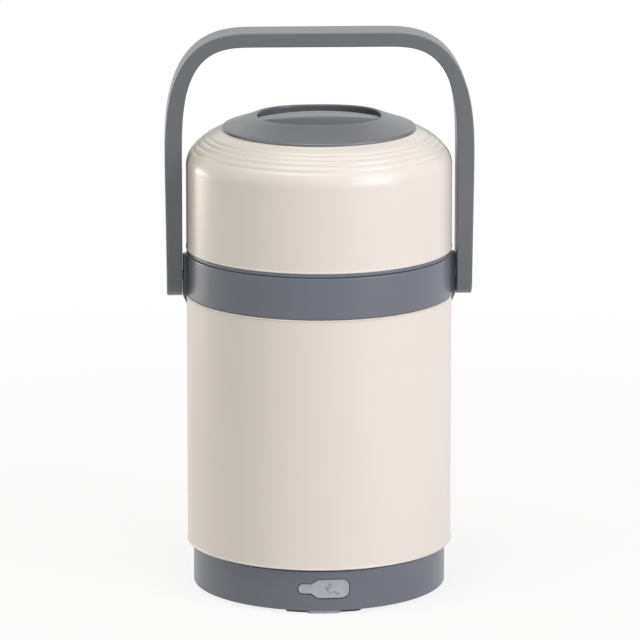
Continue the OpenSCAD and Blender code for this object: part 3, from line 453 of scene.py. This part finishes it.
# The ridge rises out of the wall over its first tenth and dies away over its last.
end = add(ridging, "ShaderNodeMath", {0: spot.outputs[0]}, operation="ABSOLUTE").outputs[0]
end = add(ridging, "ShaderNodeMapRange", {0: end, 1: 0.5, 2: 0.4, 3: 0.0, 4: 1.0},
          interpolation_type="SMOOTHERSTEP").outputs[0]
round_ = add(ridging, "ShaderNodeMath", {0: spot.outputs[1], 1: math.tau}, operation="MULTIPLY").outputs[0]
crest = add(ridging, "ShaderNodeMath", {0: round_}, operation="COSINE").outputs[0]
crest = add(ridging, "ShaderNodeMath", {0: crest, 1: given["Height"]}, operation="MULTIPLY").outputs[0]
crest = add(ridging, "ShaderNodeMath", {0: crest, 1: end}, operation="MULTIPLY").outputs[0]
crest = add(ridging, "ShaderNodeMath", {0: crest, 1: given["Outward"]}, operation="MULTIPLY").outputs[0]
far = add(ridging, "ShaderNodeMath", {0: crest, 1: given["Wall radius"]}, operation="ADD").outputs[0]
flank = add(ridging, "ShaderNodeMath", {0: round_}, operation="SINE").outputs[0]
flank = add(ridging, "ShaderNodeMath", {0: flank, 1: given["Width"]}, operation="MULTIPLY").outputs[0]
flank = add(ridging, "ShaderNodeMath", {0: flank, 1: 0.62}, operation="MULTIPLY").outputs[0]
flank = add(ridging, "ShaderNodeMath", {0: flank, 1: end}, operation="MULTIPLY").outputs[0]
along = add(ridging, "ShaderNodeMath", {0: spot.outputs[0], 1: 0.5}, operation="ADD").outputs[0]
along = add(ridging, "ShaderNodeMath", {0: along, 1: given["Arc"]}, operation="MULTIPLY").outputs[0]
climb = add(ridging, "ShaderNodeMath", {0: along, 1: given["Lead"]}, operation="MULTIPLY").outputs[0]
climb = add(ridging, "ShaderNodeMath", {0: climb, 1: math.tau}, operation="DIVIDE").outputs[0]
climb = add(ridging, "ShaderNodeMath", {0: climb, 1: given["First height"]}, operation="ADD").outputs[0]
climb = add(ridging, "ShaderNodeMath", {0: climb, 1: flank}, operation="ADD").outputs[0]
turn = add(ridging, "ShaderNodeMath", {0: along, 1: given["First angle"]}, operation="ADD").outputs[0]
east = add(ridging, "ShaderNodeMath", {0: turn}, operation="COSINE").outputs[0]
east = add(ridging, "ShaderNodeMath", {0: east, 1: far}, operation="MULTIPLY").outputs[0]
north = add(ridging, "ShaderNodeMath", {0: turn}, operation="SINE").outputs[0]
north = add(ridging, "ShaderNodeMath", {0: north, 1: far}, operation="MULTIPLY").outputs[0]
spot = add(ridging, "ShaderNodeCombineXYZ", {0: east, 1: north, 2: climb}).outputs[0]
ridge = add(ridging, "GeometryNodeSetPosition", {"Geometry": grid, "Position": spot}).outputs[0]
ridge = add(ridging, "GeometryNodeMergeByDistance", {"Geometry": ridge, "Distance": 0.000008}).outputs[0]
made = add(ridging, "GeometryNodeRealizeInstances", {"Geometry": ridge}).outputs[0]
made = add(ridging, "GeometryNodeSetMaterial", {"Geometry": made, "Material": given["Finish"]}).outputs[0]
add(ridging, "NodeGroupOutput", {0: made})
# A second tree sets copies of a piece round the upright axis, a full turn shared evenly.
circling = bpy.data.node_groups.new("Set round the axis", "GeometryNodeTree")
named_inputs(circling, [("Geometry", "Geometry", None), ("Count", "Int", 4), ("First angle", "Float", 0.0),
             ("Finish", "Material", None)])
given = add(circling, "NodeGroupInput").outputs
rows = add(circling, "GeometryNodeMeshLine", {"Count": given["Count"], "Offset": (0, 0, 0)}).outputs[0]
share = add(circling, "ShaderNodeMath", {0: math.tau, 1: given["Count"]}, operation="DIVIDE").outputs[0]
share = add(circling, "ShaderNodeMath", {0: add(circling, "GeometryNodeInputIndex").outputs[0], 1: share},
            operation="MULTIPLY").outputs[0]
share = add(circling, "ShaderNodeMath", {0: share, 1: given["First angle"]}, operation="ADD").outputs[0]
share = add(circling, "ShaderNodeCombineXYZ", {2: share}).outputs[0]
rows = add(circling, "GeometryNodeInstanceOnPoints", {"Points": rows, "Instance": given["Geometry"],
           "Rotation": share}).outputs[0]
made = add(circling, "GeometryNodeRealizeInstances", {"Geometry": rows}).outputs[0]
made = add(circling, "GeometryNodeSetMaterial", {"Geometry": made, "Material": given["Finish"]}).outputs[0]
add(circling, "NodeGroupOutput", {0: made})


def ridges(name, finish, **inputs):
    """The thread's three ridges as a plain mesh, sizes in metres and radians."""
    ridge = worked(new_piece(name, []), ridging, Finish=finish, **inputs)
    return crisp(worked(ridge, circling, Count=3, Finish=finish))


neck_r = 72.4
neck_low = collar_top - 0.1
neck_top = extent("neck_ring")[2]
pot_seat = 67
neck = turned("neck_wall", rounded([
    (neck_r, neck_low, 0), (neck_r, neck_top, 0.7), (pot_seat, neck_top, 0.3),
    (pot_seat, neck_top - 2, 0.3), (deck_bore, neck_top - 2, 0.3), (deck_bore, neck_low, 0)]), grey_abs)
thread = ridges("ridges", grey_abs, Wall_radius=neck_r / 1000, Outward=1.0, Arc=math.radians(84),
                First_angle=0.0, First_height=(collar_top + 5) / 1000)
neck = joined("neck_moulding", grey_abs, neck, thread)
fitted(neck, "body", "grey_trim", "neck_ring")

# ---- Base ----
# The base is a grey ABS ring, set in from the shell by 3.6 mm, with a narrow shadow groove
# under the shell's edge. It is moulded with the window of the mains inlet and the shallow
# bed of its rubber cover.


def inset(outline, by):
    """A closed outline moved inwards."""
    moved = []
    for i, here in enumerate(outline):
        run = (outline[(i + 1) % len(outline)] - here).normalized() + (here - outline[i - 1]).normalized()
        run.normalize()
        moved.append(here + Vector((-run.y, run.x)) * by)
    return moved


def wrapped(name, outline, layers, finish):
    """A slab bent round the base at the inlet. Each layer is (inset, rise off the wall) in mm."""
    loops = [[(p.x, base_r + rise, p.y) for p in inset(outline, by)] for by, rise in layers]
    obj = lofted(name, loops, finish)
    work = bmesh.new()
    work.from_mesh(obj.data)
    low = min(p.x for p in outline)
    high = max(p.x for p in outline)
    cuts = max(2, round((high - low) / 0.7))
    for k in range(1, cuts):
        bmesh.ops.bisect_plane(work, geom=work.verts[:] + work.edges[:] + work.faces[:],
                               plane_co=((low + (high - low) * k / cuts) / 1000, 0, 0), plane_no=(1, 0, 0))
    for v in work.verts:
        x = v.co.x + inlet_x / 1000
        v.co = (x, -math.sqrt(v.co.y ** 2 - x ** 2), v.co.z + inlet_z / 1000)
    work.to_mesh(obj.data)
    work.free()
    return crisp(obj)


def even(points, gap=0.35):
    """Drops the points of an outline that lie too close together."""
    kept = [points[0]]
    for p in points[1:]:
        if (p - kept[-1]).length > gap:
            kept.append(p)
    return kept


def carved(obj, *tools):
    """The piece less its tools, which are used up."""
    for tool in tools:
        cut = obj.modifiers.new("cut", "BOOLEAN")
        cut.operation = "DIFFERENCE"
        cut.object = tool
    obj = as_plain(obj)
    for tool in tools:
        bpy.data.objects.remove(tool)
    return obj


def upright(across, tall, corner_r, steps):
    """An upright oblong with round corners, from half its width and half its height."""
    return even(rounded([(-across, -tall, corner_r), (across, -tall, corner_r), (across, tall, corner_r),
                (-across, tall, corner_r)], steps))


seat_r, base_low, base_top = extent("base_housing")
base_r = shell_r - 3.6
base_bore = base_r - 2.6
groove_r = base_r - 1.2
deck_r = 74
low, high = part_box("cover_flap")
inlet_x = round((low.x + high.x) * 500, 1)
inlet_z = round((low.z + high.z) * 500, 1)
flap_half = round((high.x - low.x) * 500, 1)
flap_tall = round((high.z - low.z) * 500, 1)
neck_end = -7.6
tab_end = -19.25
tab_tall = 3.05
cover_edge = even(rounded([
    (tab_end, -tab_tall, 3.04), (-flap_half, -tab_tall, 0.9), (neck_end, -flap_tall, 2.2),
    (flap_half, -flap_tall, 4.5), (flap_half, flap_tall, 4.5), (neck_end, flap_tall, 2.2),
    (-flap_half, tab_tall, 0.9), (tab_end, tab_tall, 3.04)], 9))
base = turned("base_wall", rounded([
    (base_r, base_low, 0.7), (base_r, shell_low - 1.7, 0.3), (groove_r, shell_low - 1.4, 0.2),
    (groove_r, shell_low - 0.2, 0.2), (base_r, shell_low - 0.2, 0.1), (base_r, base_top, 0.5),
    (base_bore, base_top, 0.4), (base_bore, base_low, 0.6)]), grey_abs)
bed = wrapped("bed", cover_edge, [(-0.4, -1.7), (-0.4, 2.6)], grey_abs)
window = wrapped("window", upright(9, 5.5, 5.4, 12), [(0, -6.4), (0, 2.6)], grey_abs)
base = crisp(carved(base, bed, window))
deck = turned("deck", rounded([(deck_r, base_top - 2, 0), (deck_r, base_top, 0), (40, base_top, 0.3),
              (40, base_top - 2, 0.3)]), grey_abs)
seat = turned("seat", rounded([(seat_r, base_top - 4, 0.4), (seat_r, base_top - 1.8, 0.4),
              (deck_r, base_top - 1.8, 0), (deck_r, base_top - 4, 0)]), grey_abs)
base = joined("base_moulding", grey_abs, base, deck, seat)
fitted(base, "body", "grey_trim", "base_housing")

# ---- Inlet cover ----
# One piece of soft light-grey silicone rubber. Its small tab is pegged into the base,
# the neck bends, and the flap pushes a rib into the window. A fine raised rim runs
# round it, and a plain plug sign is raised in its middle.


def rubber(name, code, roughness, relief=0.01):
    """Silicone or rubber: dull, with a faint dust-like mottle."""
    material = bpy.data.materials.new(name)
    tree = empty_tree(material)
    place = add(tree, "ShaderNodeTexCoord").outputs["Object"]
    bloom = add(tree, "ShaderNodeTexNoise", {"Vector": place, "Scale": 420.0, "Detail": 4.0})
    shade = tuple(c * 0.93 for c in colour(code)[:3]) + (1.0,)
    tone = add(tree, "ShaderNodeMix", {0: bloom.outputs[0], 6: colour(code), 7: shade}, data_type="RGBA")
    bump = add(tree, "ShaderNodeBump", {"Height": bloom.outputs[0], "Strength": 0.5,
               "Distance": relief / 1000})
    dull = add(tree, "ShaderNodeMapRange", {0: bloom.outputs[0], 3: roughness - 0.05, 4: roughness + 0.05})
    skin = add(tree, "ShaderNodeBsdfPrincipled", {"Base Color": tone.outputs[2],
               "Roughness": dull.outputs[0], "Normal": bump.outputs[0]})
    skin.inputs["IOR"].default_value = 1.41
    skin.inputs["Sheen Weight"].default_value = 0.08
    add(tree, "ShaderNodeOutputMaterial", {0: skin.outputs[0]})
    return material


# Silicone rubber: dull and a little waxy, so its rim shows as a soft light line.
cover_silicone = rubber("light grey silicone rubber", "#B2B6BC", 0.5)
flap = wrapped("flap", cover_edge, [(0.15, -1.4), (0, -1.25), (0, -0.5), (0.2, -0.1), (0.5, 0.26),
               (0.75, 0.4), (0.95, 0.36), (1.2, 0.2), (1.4, 0.06), (1.55, 0.02)], cover_silicone)
rib = upright(8.4, 4.9, 4.8, 10)
hollow = wrapped("hollow", inset(rib, 1.2), [(0, -4.4), (0, -1.6)], cover_silicone)
rib = wrapped("rib", rib, [(0.3, -2.9), (0, -2.6), (0, -1.3)], cover_silicone)
rib = crisp(carved(rib, hollow))
# The sign is drawn small and upright: the plug's body, its two pins and its lead. It is
# then tilted, moved and made larger.
sign_turn = math.radians(-38)
sign_right = 0.6
sign_scale = 2.2
sign = []
for edge in ([(-0.9, -1.1, 0.15), (0.5, -1.1, 0.7), (0.5, 1.1, 0.7), (-0.9, 1.1, 0.15)],
             [(-1.7, 0.4, 0.12), (-0.8, 0.4, 0.05), (-0.8, 0.75, 0.05), (-1.7, 0.75, 0.12)],
             [(-1.7, -0.75, 0.12), (-0.8, -0.75, 0.05), (-0.8, -0.4, 0.05), (-1.7, -0.4, 0.12)],
             [(0.4, -0.17, 0.05), (2.1, -0.17, 0.15), (2.1, 0.17, 0.15), (0.4, 0.17, 0.05)]):
    edge = [Vector((p.x * math.cos(sign_turn) - p.y * math.sin(sign_turn) + sign_right,
                    p.x * math.sin(sign_turn) + p.y * math.cos(sign_turn))) * sign_scale
            for p in even(rounded(edge), 0.1)]
    sign.append(wrapped("sign", edge, [(0, -0.1), (0, 0.44), (0.12, 0.55)], cover_silicone))
cover = joined("inlet_cover", cover_silicone, flap, rib, *sign)
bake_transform(cover)
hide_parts("cover_tab", "cover_flap")

# ---- Feet ----
# Four curved pads of black rubber are glued under the bottom cover. Each holds a short strip of light-grey
# rubber, and its pale colour is a painted highlight along the front of the foot.


def pad(name, inner, outer, low, high, half_arc, finish):
    """A curved pad at the front with round ends, sizes in mm and the arc in degrees."""
    middle = (inner + outer) / 2
    end_r = 3.5
    steps = 48
    section = rounded([(inner, low, 0.5), (outer, low, 0.9), (outer, high, 0.1), (inner, high, 0.1)], 4)
    loops = []
    for k in range(steps + 1):
        turn = math.sin(math.pi * (k / steps - 0.5)) * half_arc
        rest = math.radians(half_arc - abs(turn)) * outer
        squeeze = math.sqrt(1 - max(0.0, 1 - rest / end_r) ** 2)
        a = math.radians(turn - 90)
        loops.append([((middle + (p.x - middle) * squeeze) * math.cos(a),
                       (middle + (p.x - middle) * squeeze) * math.sin(a), p.y) for p in section])
    return lofted(name, loops, finish)


black_rubber = rubber("black rubber", "#3A3C40", 0.6)
# The strips' pale grey is a painted highlight where the front of each foot catches the light.
highlight_rubber = rubber("grey rubber with painted highlight", "#B0B1B8", 0.6)
feet = pad("rubber_feet", inner=64.6, outer=73.2, low=0.05, high=extent("feet")[2], half_arc=18.9,
           finish=black_rubber)
feet = crisp(worked(feet, circling, Count=4, Finish=black_rubber))
fitted(feet, "body", "foot_rubber", "feet")
highlight_strips = pad("foot_strips", inner=68.0, outer=75.4, low=0.0, high=1.95, half_arc=8.2, finish=highlight_rubber)
highlight_strips = crisp(worked(highlight_strips, circling, Count=4, Finish=highlight_rubber))
fitted(highlight_strips, "body", "foot_rubber")

# ---- Lid ----
# The lid is a cream ABS shell that screws on. Its straight wall turns through a large
# round corner into a domed shoulder with four soft grooves. A fine bead runs along its
# rim and another round the seat of the cap.
lid_r, lid_low, cap_z = extent("lid_shell")
cap_r, _, bar_top = extent("lid_cap")
lid_wall = 2.2
dome_r = 38
corner_r = 15.7
seat_slope = math.radians(16)
shoulder = Vector((cap_r - dome_r * math.sin(seat_slope), cap_z - dome_r * math.cos(seat_slope)))
corner_x = lid_r - corner_r
corner = Vector((corner_x, shoulder.y + math.sqrt((dome_r - corner_r) ** 2 - (corner_x - shoulder.x) ** 2)))
bend = math.degrees(math.atan2(corner.y - shoulder.y, corner.x - shoulder.x))


def arc(centre, radius, first, last, steps):
    """Points of an arc, angles in degrees."""
    turns = [math.radians(first + (last - first) * k / steps) for k in range(steps + 1)]
    return [(centre.x + radius * math.cos(a), centre.y + radius * math.sin(a), 0) for a in turns]


rim_bead = lid_r + 0.3
outline = [(lid_r - 0.2, lid_low, 0.2), (rim_bead, lid_low + 0.25, 0.3), (rim_bead, lid_low + 0.9, 0.3),
           (lid_r, lid_low + 1.4, 0.5)]
outline += arc(corner, corner_r, 0, bend, 60) + arc(shoulder, dome_r, bend, 71.3, 106)[1:]
outline += [arc(shoulder, dome_r + rise, a, a, 1)[0] for a, rise in ((71.7, 0.07), (72.0, 0.18),
            (72.4, 0.25), (72.8, 0.22), (73.2, 0.1), (74, 0))]
outline += [(50, cap_z, 0), (50, cap_z - lid_wall, 0)] + arc(shoulder, dome_r - lid_wall, 74, bend, 16)
outline += arc(corner, corner_r - lid_wall, bend, 0, 12)[1:] + [(lid_r - lid_wall, lid_low, 0.4)]
lid = turned("lid_moulding", rounded(outline), cream_abs,
             Shoulder_centre=(shoulder.x / 1000, 0, shoulder.y / 1000), Shoulder_radius=dome_r / 1000,
             Groove_count=4, First_groove=0.0666, Groove_step=0.0032, Groove_depth=0.0007,
             Groove_width=0.0016)
fitted(lid, "lid", "cream_shell", "lid_shell")

# ---- Lid ring ----
# A grey ABS ring is snapped into the lid. Its rim shows as a thin band over the collar,
# and its skirt carries the inner thread and holds the liner.
_, ring_low, ring_top = extent("lid_ring")
rim_top = lid_low - 0.05
skirt_r = lid_r - 3.6
skirt_bore = neck_r + 2
flange_bore = 68
ring = turned("lid_ring_wall", rounded([
    (lid_r, ring_low, 0.7), (lid_r, rim_top, 0.5), (skirt_r, rim_top, 0.2), (skirt_r, ring_top, 0.3),
    (flange_bore, ring_top, 0.3), (flange_bore, ring_top - 2, 0.3), (skirt_bore, ring_top - 2, 0.4),
    (skirt_bore, ring_low, 0.6)]), grey_abs)
thread = ridges("ridges", grey_abs, Wall_radius=skirt_bore / 1000, Outward=-1.0, Arc=math.radians(48),
                First_angle=math.radians(36), First_height=(ring_low + 5.9) / 1000)
ring = joined("lid_ring_moulding", grey_abs, ring, thread)
fitted(ring, "lid", "grey_trim", "lid_ring")

# ---- Cap ----
# The grey ABS cap rises in a flat, barely hollow cone to a soft lip. Inside the lip lies
# the oval well for the fingers, crossed by the grip bar that turns the lid. The bar is
# crowned along its length and narrows to its ends, which run into the well's wall.
# The cap's ABS is a shade lighter and more neutral than the collar's.
cap_abs = moulded("neutral grey ABS", "#717378", "#6E7075", 0.31, 0.9, 0.006)
turns = [math.tau * k / 288 for k in range(288)]


def ring_of(radii, z):
    """A level loop round the axis, with a radius for each turn."""
    return [(r * math.cos(a), r * math.sin(a), z) for a, r in zip(turns, radii)]


# The well is a superellipse, fuller at its corners than an oval.
well_length = 37
well_width = 32.5
well_power = 2.4
well = [(abs(math.cos(a) / well_length) ** well_power
         + abs(math.sin(a) / well_width) ** well_power) ** (-1 / well_power) for a in turns]
lip_z = 289.5
floor_z = lip_z - 7.1
cone_r = cap_r - 0.7
cone_rise = 6.25
cone_hollow = 0.15
cone_steps = 24
loops = [ring_of([r] * len(turns), cap_z + rise) for r, rise in (
    (0.01, 0), (30, 0), (cap_r - 0.2, 0), (cap_r, 0.2), (cap_r, 0.4), (cap_r, 1.05),
    (cap_r - 0.08, 1.35), (cap_r - 0.35, 1.63))]
for k in range(cone_steps + 1):
    share = k / cone_steps
    loops.append(ring_of([cone_r + (edge + 2.4 - cone_r) * share for edge in well],
                         cap_z + 1.8 + cone_rise * share - cone_hollow * math.sin(math.pi * share)))
for out, down in ((2.0, 0.22), (1.6, 0.11), (1.2, 0.04), (0.9, 0.03), (0.55, 0.12), (0.27, 0.32),
                  (0.08, 0.62), (0, 1.0), (0, 1.6), (0, 5.2), (0, 5.8), (-0.1, 6.3), (-0.35, 6.7),
                  (-0.75, 7.0), (-1.3, 7.1), (-1.7, 7.1)):
    loops.append(ring_of([edge + out for edge in well], lip_z - down))
loops += [ring_of([edge * share for edge in well], floor_z) for share in (0.5, 0.0005)]
cap = lofted("cap_plate", loops, cap_abs)
bar_end = 37.5
bar_steps = 60
bar_half = 9.35
loops = []
for k in range(bar_steps + 1):
    x = bar_end * (2 * k / bar_steps - 1)
    top = bar_top - 3.0 * (x / well_length) ** 2
    half = bar_half - 3.8 * (x / well_length) ** 2
    section = rounded([
        (-half - 2.6, floor_z - 0.4, 0), (-half - 2.6, floor_z, 0), (-half - 1.8, floor_z + 1.1, 0.9),
        (-half, top, 1.1), (half, top, 1.1), (half + 1.8, floor_z + 1.1, 0.9), (half + 2.6, floor_z, 0),
        (half + 2.6, floor_z - 0.4, 0)], 6)
    loops.append([(x, p.x, p.y) for p in section])
bar = lofted("grip_bar", loops, cap_abs)
cap = joined("cap_moulding", cap_abs, cap, bar)
fitted(cap, "lid", "grey_trim", "lid_cap")

# ---- Vent plug ----
# A small turned ABS knob stands in the back of the well. It is pulled up to let steam
# out before the lid is turned.
knob_r, stem_low, knob_top = extent("vent_plug")
stem_r = 3.16
knob_back = 22.5
knob = turned("vent_knob", rounded([
    (0, stem_low, 0), (stem_r, stem_low, 0.3), (stem_r, floor_z, 0.1), (knob_r, floor_z, 0.2),
    (knob_r, knob_top - 1.8, 0.5), (knob_r - 0.6, knob_top, 0.9), (0, knob_top, 0)]), cap_abs,
    closed=False, Steps_round=96)
knob.data.transform(Matrix.Translation((0, knob_back / 1000, 0)))
fitted(knob, "vent", "grey_trim", "vent_plug")

# ---- Handle ----
# The bail is one solid grey ABS moulding with crisp, barely broken edges. Its flat top
# bar bends through two long corners into straight arms, which end full-round over the
# pivots.
# The bail's ABS is a shade darker than the cap's and as neutral.
bail_abs = moulded("dark neutral grey ABS", "#686A6F", "#65676C", 0.33, 0.9, 0.006)
bail_out, _, bail_top = extent("handle")
bail_half = round(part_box("handle")[1].y * 1000, 1)
bar_low = bail_top - 8.6
arm_in = bail_out - 10.3
arm_taper = 0.9
bend_x = 38
bend_z = 262


def bent(out, top, power, turn):
    """A point of the bend's superellipse quarter, which runs from the arm up to the bar."""
    a = math.radians(turn)
    return (bend_x + (out - bend_x) * math.cos(a) ** (2 / power),
            bend_z + (top - bend_z) * math.sin(a) ** (2 / power))


# Each station has its outer and inner point. At the pivots the section folds down from
# level to upright, so the arm ends in a half round.
stations = [((x, bail_top), (x, bar_low), 0) for x in (0, 12, 24, 33)]
for k in range(53):
    turn = max(1e-6, 90 - 90 * k / 52)
    stations.append((bent(bail_out, bail_top, 2.8, turn), bent(arm_in, bar_low, 3.2, turn), 0))
stations += [((bail_out - arm_taper * k / 7, bend_z - 10 * k), (arm_in, bend_z - 10 * k), 0)
             for k in range(1, 7)]
stations += [((bail_out - arm_taper, pivot_z), (arm_in, pivot_z), math.radians(7.5 * k)) for k in range(13)]
loops = []
for side in (-1, 1):
    for outer, inner, fold in stations[::-1] if side < 0 else stations[1:]:
        outer = Vector(outer)
        across = Vector(inner) - outer
        loop = []
        for p in rounded([(0, -bail_half, 0.8), (across.length, -bail_half, 0.7),
                          (across.length, bail_half, 0.7), (0, bail_half, 0.8)], 4):
            spot = outer + across.normalized() * p.x
            loop.append((side * spot.x, p.y * math.cos(fold), spot.y - abs(p.y) * math.sin(fold)))
        loops.append(loop)
handle = lofted("bail_handle", loops, bail_abs)
fitted(handle, "bail", "grey_trim", "handle")

# ---- Pot, bowls and liner ----
# The pot, the bowls and the lid's liner are drawn from thin stainless sheet and finished
# on a lathe with fine emery, so thin rings run round them. They keep their CAD shapes.


def lathed(name, code, roughness, line, relief, metallic=1.0):
    """Metal finished on a lathe: rings round the upright axis, spaced in mm."""
    material = bpy.data.materials.new(name)
    tree = empty_tree(material)
    place = add(tree, "ShaderNodeTexCoord").outputs["Object"]
    axes = add(tree, "ShaderNodeSeparateXYZ", {0: place}).outputs
    flat = add(tree, "ShaderNodeCombineXYZ", {0: axes[0], 1: axes[1]})
    radius = add(tree, "ShaderNodeVectorMath", {0: flat.outputs[0]}, operation="LENGTH").outputs["Value"]
    rings = add(tree, "ShaderNodeCombineXYZ", {0: radius, 1: axes[2]})
    rings = add(tree, "ShaderNodeTexNoise", {"Vector": rings.outputs[0], "Scale": 1000 / line, "Detail": 3.0})
    stain = add(tree, "ShaderNodeTexNoise", {"Vector": place, "Scale": 28.0, "Detail": 4.0})
    shade = tuple(c * 0.88 for c in colour(code)[:3]) + (1.0,)
    tone = add(tree, "ShaderNodeMix", {0: stain.outputs[0], 6: colour(code), 7: shade}, data_type="RGBA")
    dull = add(tree, "ShaderNodeMapRange", {0: rings.outputs[0], 3: roughness - 0.08, 4: roughness + 0.08})
    bump = add(tree, "ShaderNodeBump", {"Height": rings.outputs[0], "Strength": 0.6,
               "Distance": relief / 1000})
    metal = add(tree, "ShaderNodeBsdfPrincipled", {"Base Color": tone.outputs[2],
                "Roughness": dull.outputs[0], "Normal": bump.outputs[0]})
    metal.inputs["Metallic"].default_value = metallic
    add(tree, "ShaderNodeOutputMaterial", {0: metal.outputs[0]})
    return material


def finished(finish, *nodes):
    """CAD nodes keep their shape and take the finish."""
    for node in nodes:
        part = frame["nodes"][node].data
        part.materials.clear()
        part.materials.append(finish)


# Drawn stainless steel: pale and neutral, with a soft streak of light across its rings.
# The emery's 0.05 mm lines are drawn at 0.5 mm.
drawn_steel = lathed("drawn stainless steel", "#C9C8C6", 0.24, 0.5, 0.01)
finished(drawn_steel, "inner_pot", "bowl_lower", "bowl_middle", "bowl_upper", "lid_liner")

# ---- Bowl lids and seals ----
# Each bowl has a snap lid of white polypropylene with a ring of milky silicone. The same
# silicone makes the gaskets of pot and lid and the steam tube.
# Polypropylene: a warm white that looks a little waxy, with a blurred shine.
white_pp = moulded("white polypropylene", "#ECEAE3", "#E6E3DA", 0.38, 1.2, 0.008)
finished(white_pp, "bowl_lid_lower", "bowl_lid_middle", "bowl_lid_upper")
# Milky silicone: dull and even, a little darker than the white lids.
milky_silicone = rubber("milky silicone rubber", "#D9D8D1", 0.5)
finished(milky_silicone, "bowl_seals", "pot_gasket", "lid_gasket", "vent_tube")

# ---- Foam ----
# Rigid polyurethane foam fills the wall and the lid. It is cast in halves and pushed in
# before the pot.


def foamed(name, code, cell):
    """Rigid foam: a skin of open cells, their width in mm, with painted shade in their hollows."""
    material = bpy.data.materials.new(name)
    tree = empty_tree(material)
    place = add(tree, "ShaderNodeTexCoord").outputs["Object"]
    cells = add(tree, "ShaderNodeTexVoronoi", {"Vector": place, "Scale": 1000 / cell, "Randomness": 1.0})
    # Each cell's hollow is painted darker: painted shade in the pits.
    pit_shade = tuple(c * 0.55 for c in colour(code)[:3]) + (1.0,)
    tone = add(tree, "ShaderNodeMix", {0: cells.outputs["Distance"], 6: pit_shade, 7: colour(code)},
               data_type="RGBA")
    bump = add(tree, "ShaderNodeBump", {"Height": cells.outputs["Distance"], "Strength": 0.9,
               "Distance": cell * 0.0004})
    skin = add(tree, "ShaderNodeBsdfPrincipled", {"Base Color": tone.outputs[2], "Normal": bump.outputs[0]})
    skin.inputs["Roughness"].default_value = 0.9
    add(tree, "ShaderNodeOutputMaterial", {0: skin.outputs[0]})
    return material


# Polyurethane foam: honey-coloured and dead matt. Its 0.4 mm cells are drawn at 1 mm, with painted shade in
# their hollows.
honey_foam = foamed("polyurethane foam", "#DCC896", 1.0)
finished(honey_foam, "pot_insulation", "lid_foam")

# ---- Heater ----
# The pot sits on a die-cast aluminium plate with a machined face. A steel-sheathed element
# is clamped under it, over a bright sheet shield, with a thermostat and a fuse.
# Machined aluminium: white-grey, with turning marks 0.4 mm apart that are drawn at 0.8 mm.
turned_aluminium = lathed("machined aluminium", "#C4C5C7", 0.34, 0.8, 0.02)
finished(turned_aluminium, "heating_plate")
# Heated steel sheath: its oxide makes it dull, dark and a little brown.
oxide_sheath = lathed("oxidised steel sheath", "#6B665F", 0.55, 1.5, 0.02, 0.8)
finished(oxide_sheath, "heater_element")
# Bright rolled sheet: smooth, with a faint long grain from the mill.
rolled_sheet = lathed("rolled steel sheet", "#BDBDBB", 0.3, 3.0, 0.006)
finished(rolled_sheet, "heat_shield", "heater_clamp", "inlet_bracket", "pivot_pins")
# Zinc plating: bluish white, finely frosted.
zinc_plate = lathed("zinc-plated steel", "#B9BEC6", 0.38, 0.9, 0.008)
finished(zinc_plate, "clamp_nut", "inlet_screws", "lid_screws")
# Phenolic: black, hard and slightly shiny where the mould was polished.
phenolic = moulded("black phenolic", "#1E1D1F", "#242326", 0.42, 1.0, 0.01)
finished(phenolic, "thermostat")
# Glass-fibre sleeve: off-white and matt, with a coarse weave.
glass_sleeve = moulded("glass-fibre sleeve", "#E4DFD3", "#D6D0C2", 0.75, 0.8, 0.05)
finished(glass_sleeve, "thermal_fuse")

# ---- Inlet and wires ----
# The inlet is a black glass-filled nylon socket with two nickel-plated pins, held by a
# steel bracket. Two PVC-covered leads run from it to the heater.
# Glass-filled nylon: black with a greyish bloom of fibres at its surface.
filled_nylon = moulded("glass-filled nylon", "#222326", "#2C2D31", 0.5, 0.7, 0.012)
finished(filled_nylon, "power_inlet")
# Nickel-plated brass: a warm silver that mirrors softly.
nickel_brass = lathed("nickel-plated brass", "#CFC7B3", 0.2, 1.2, 0.004)
finished(nickel_brass, "inlet_contacts")
# PVC insulation: even colour with a soft plasticised shine.
brown_pvc = moulded("brown PVC", "#6A3B22", "#5F341E", 0.4, 1.5, 0.01)
finished(brown_pvc, "live_wire")
blue_pvc = moulded("blue PVC", "#2F63A8", "#2A5A9B", 0.4, 1.5, 0.01)
finished(blue_pvc, "neutral_wire")

# ---- Bottom ----
# The bottom cover is a plain disc of the grey ABS, left with a coarser grain where nobody
# looks. Four pan-head screws with a cross recess hold it to the base.
coarse_abs = moulded("coarse slate grey ABS", "#63676F", "#5E626B", 0.48, 1.4, 0.02)
finished(coarse_abs, "bottom_cover")
_, head_low, screw_tip = extent("bottom_screws")
head_r = 2.9
head_top = head_low + 1.4
shank_r = 1.2
slot_half = 0.4
slot_end = 1.6
screw_circle = 52
screw = turned("screw", rounded([
    (0, head_low, 0), (head_r, head_low, 0.9), (head_r, head_top, 0.15), (shank_r, head_top, 0.15),
    (shank_r, screw_tip - 1, 0.1), (0, screw_tip, 0)]), zinc_plate, closed=False, Steps_round=64)
cross = []
for east, north in ((1, 1), (-1, 1), (-1, -1), (1, -1)):
    arms = [(slot_end, slot_half), (slot_half, slot_half), (slot_half, slot_end)]
    cross += [(x * east, y * north) for x, y in (arms if east == north else arms[::-1])]
loops = [[(x * share, y * share, z) for x, y in cross] for z, share in (
    (head_low - 0.2, 1.0), (head_low + 0.15, 1.0), (head_low + 0.95, 0.55))]
screw = carved(screw, lofted("recess", loops, zinc_plate))
screw.data.transform(Matrix.Translation((screw_circle / 1000, 0, 0)))
screws = crisp(worked(screw, circling, Count=4, First_angle=math.radians(45), Finish=zinc_plate))
screws.name = "cover_screws"
fitted(screws, "body", "screw_steel", "bottom_screws")
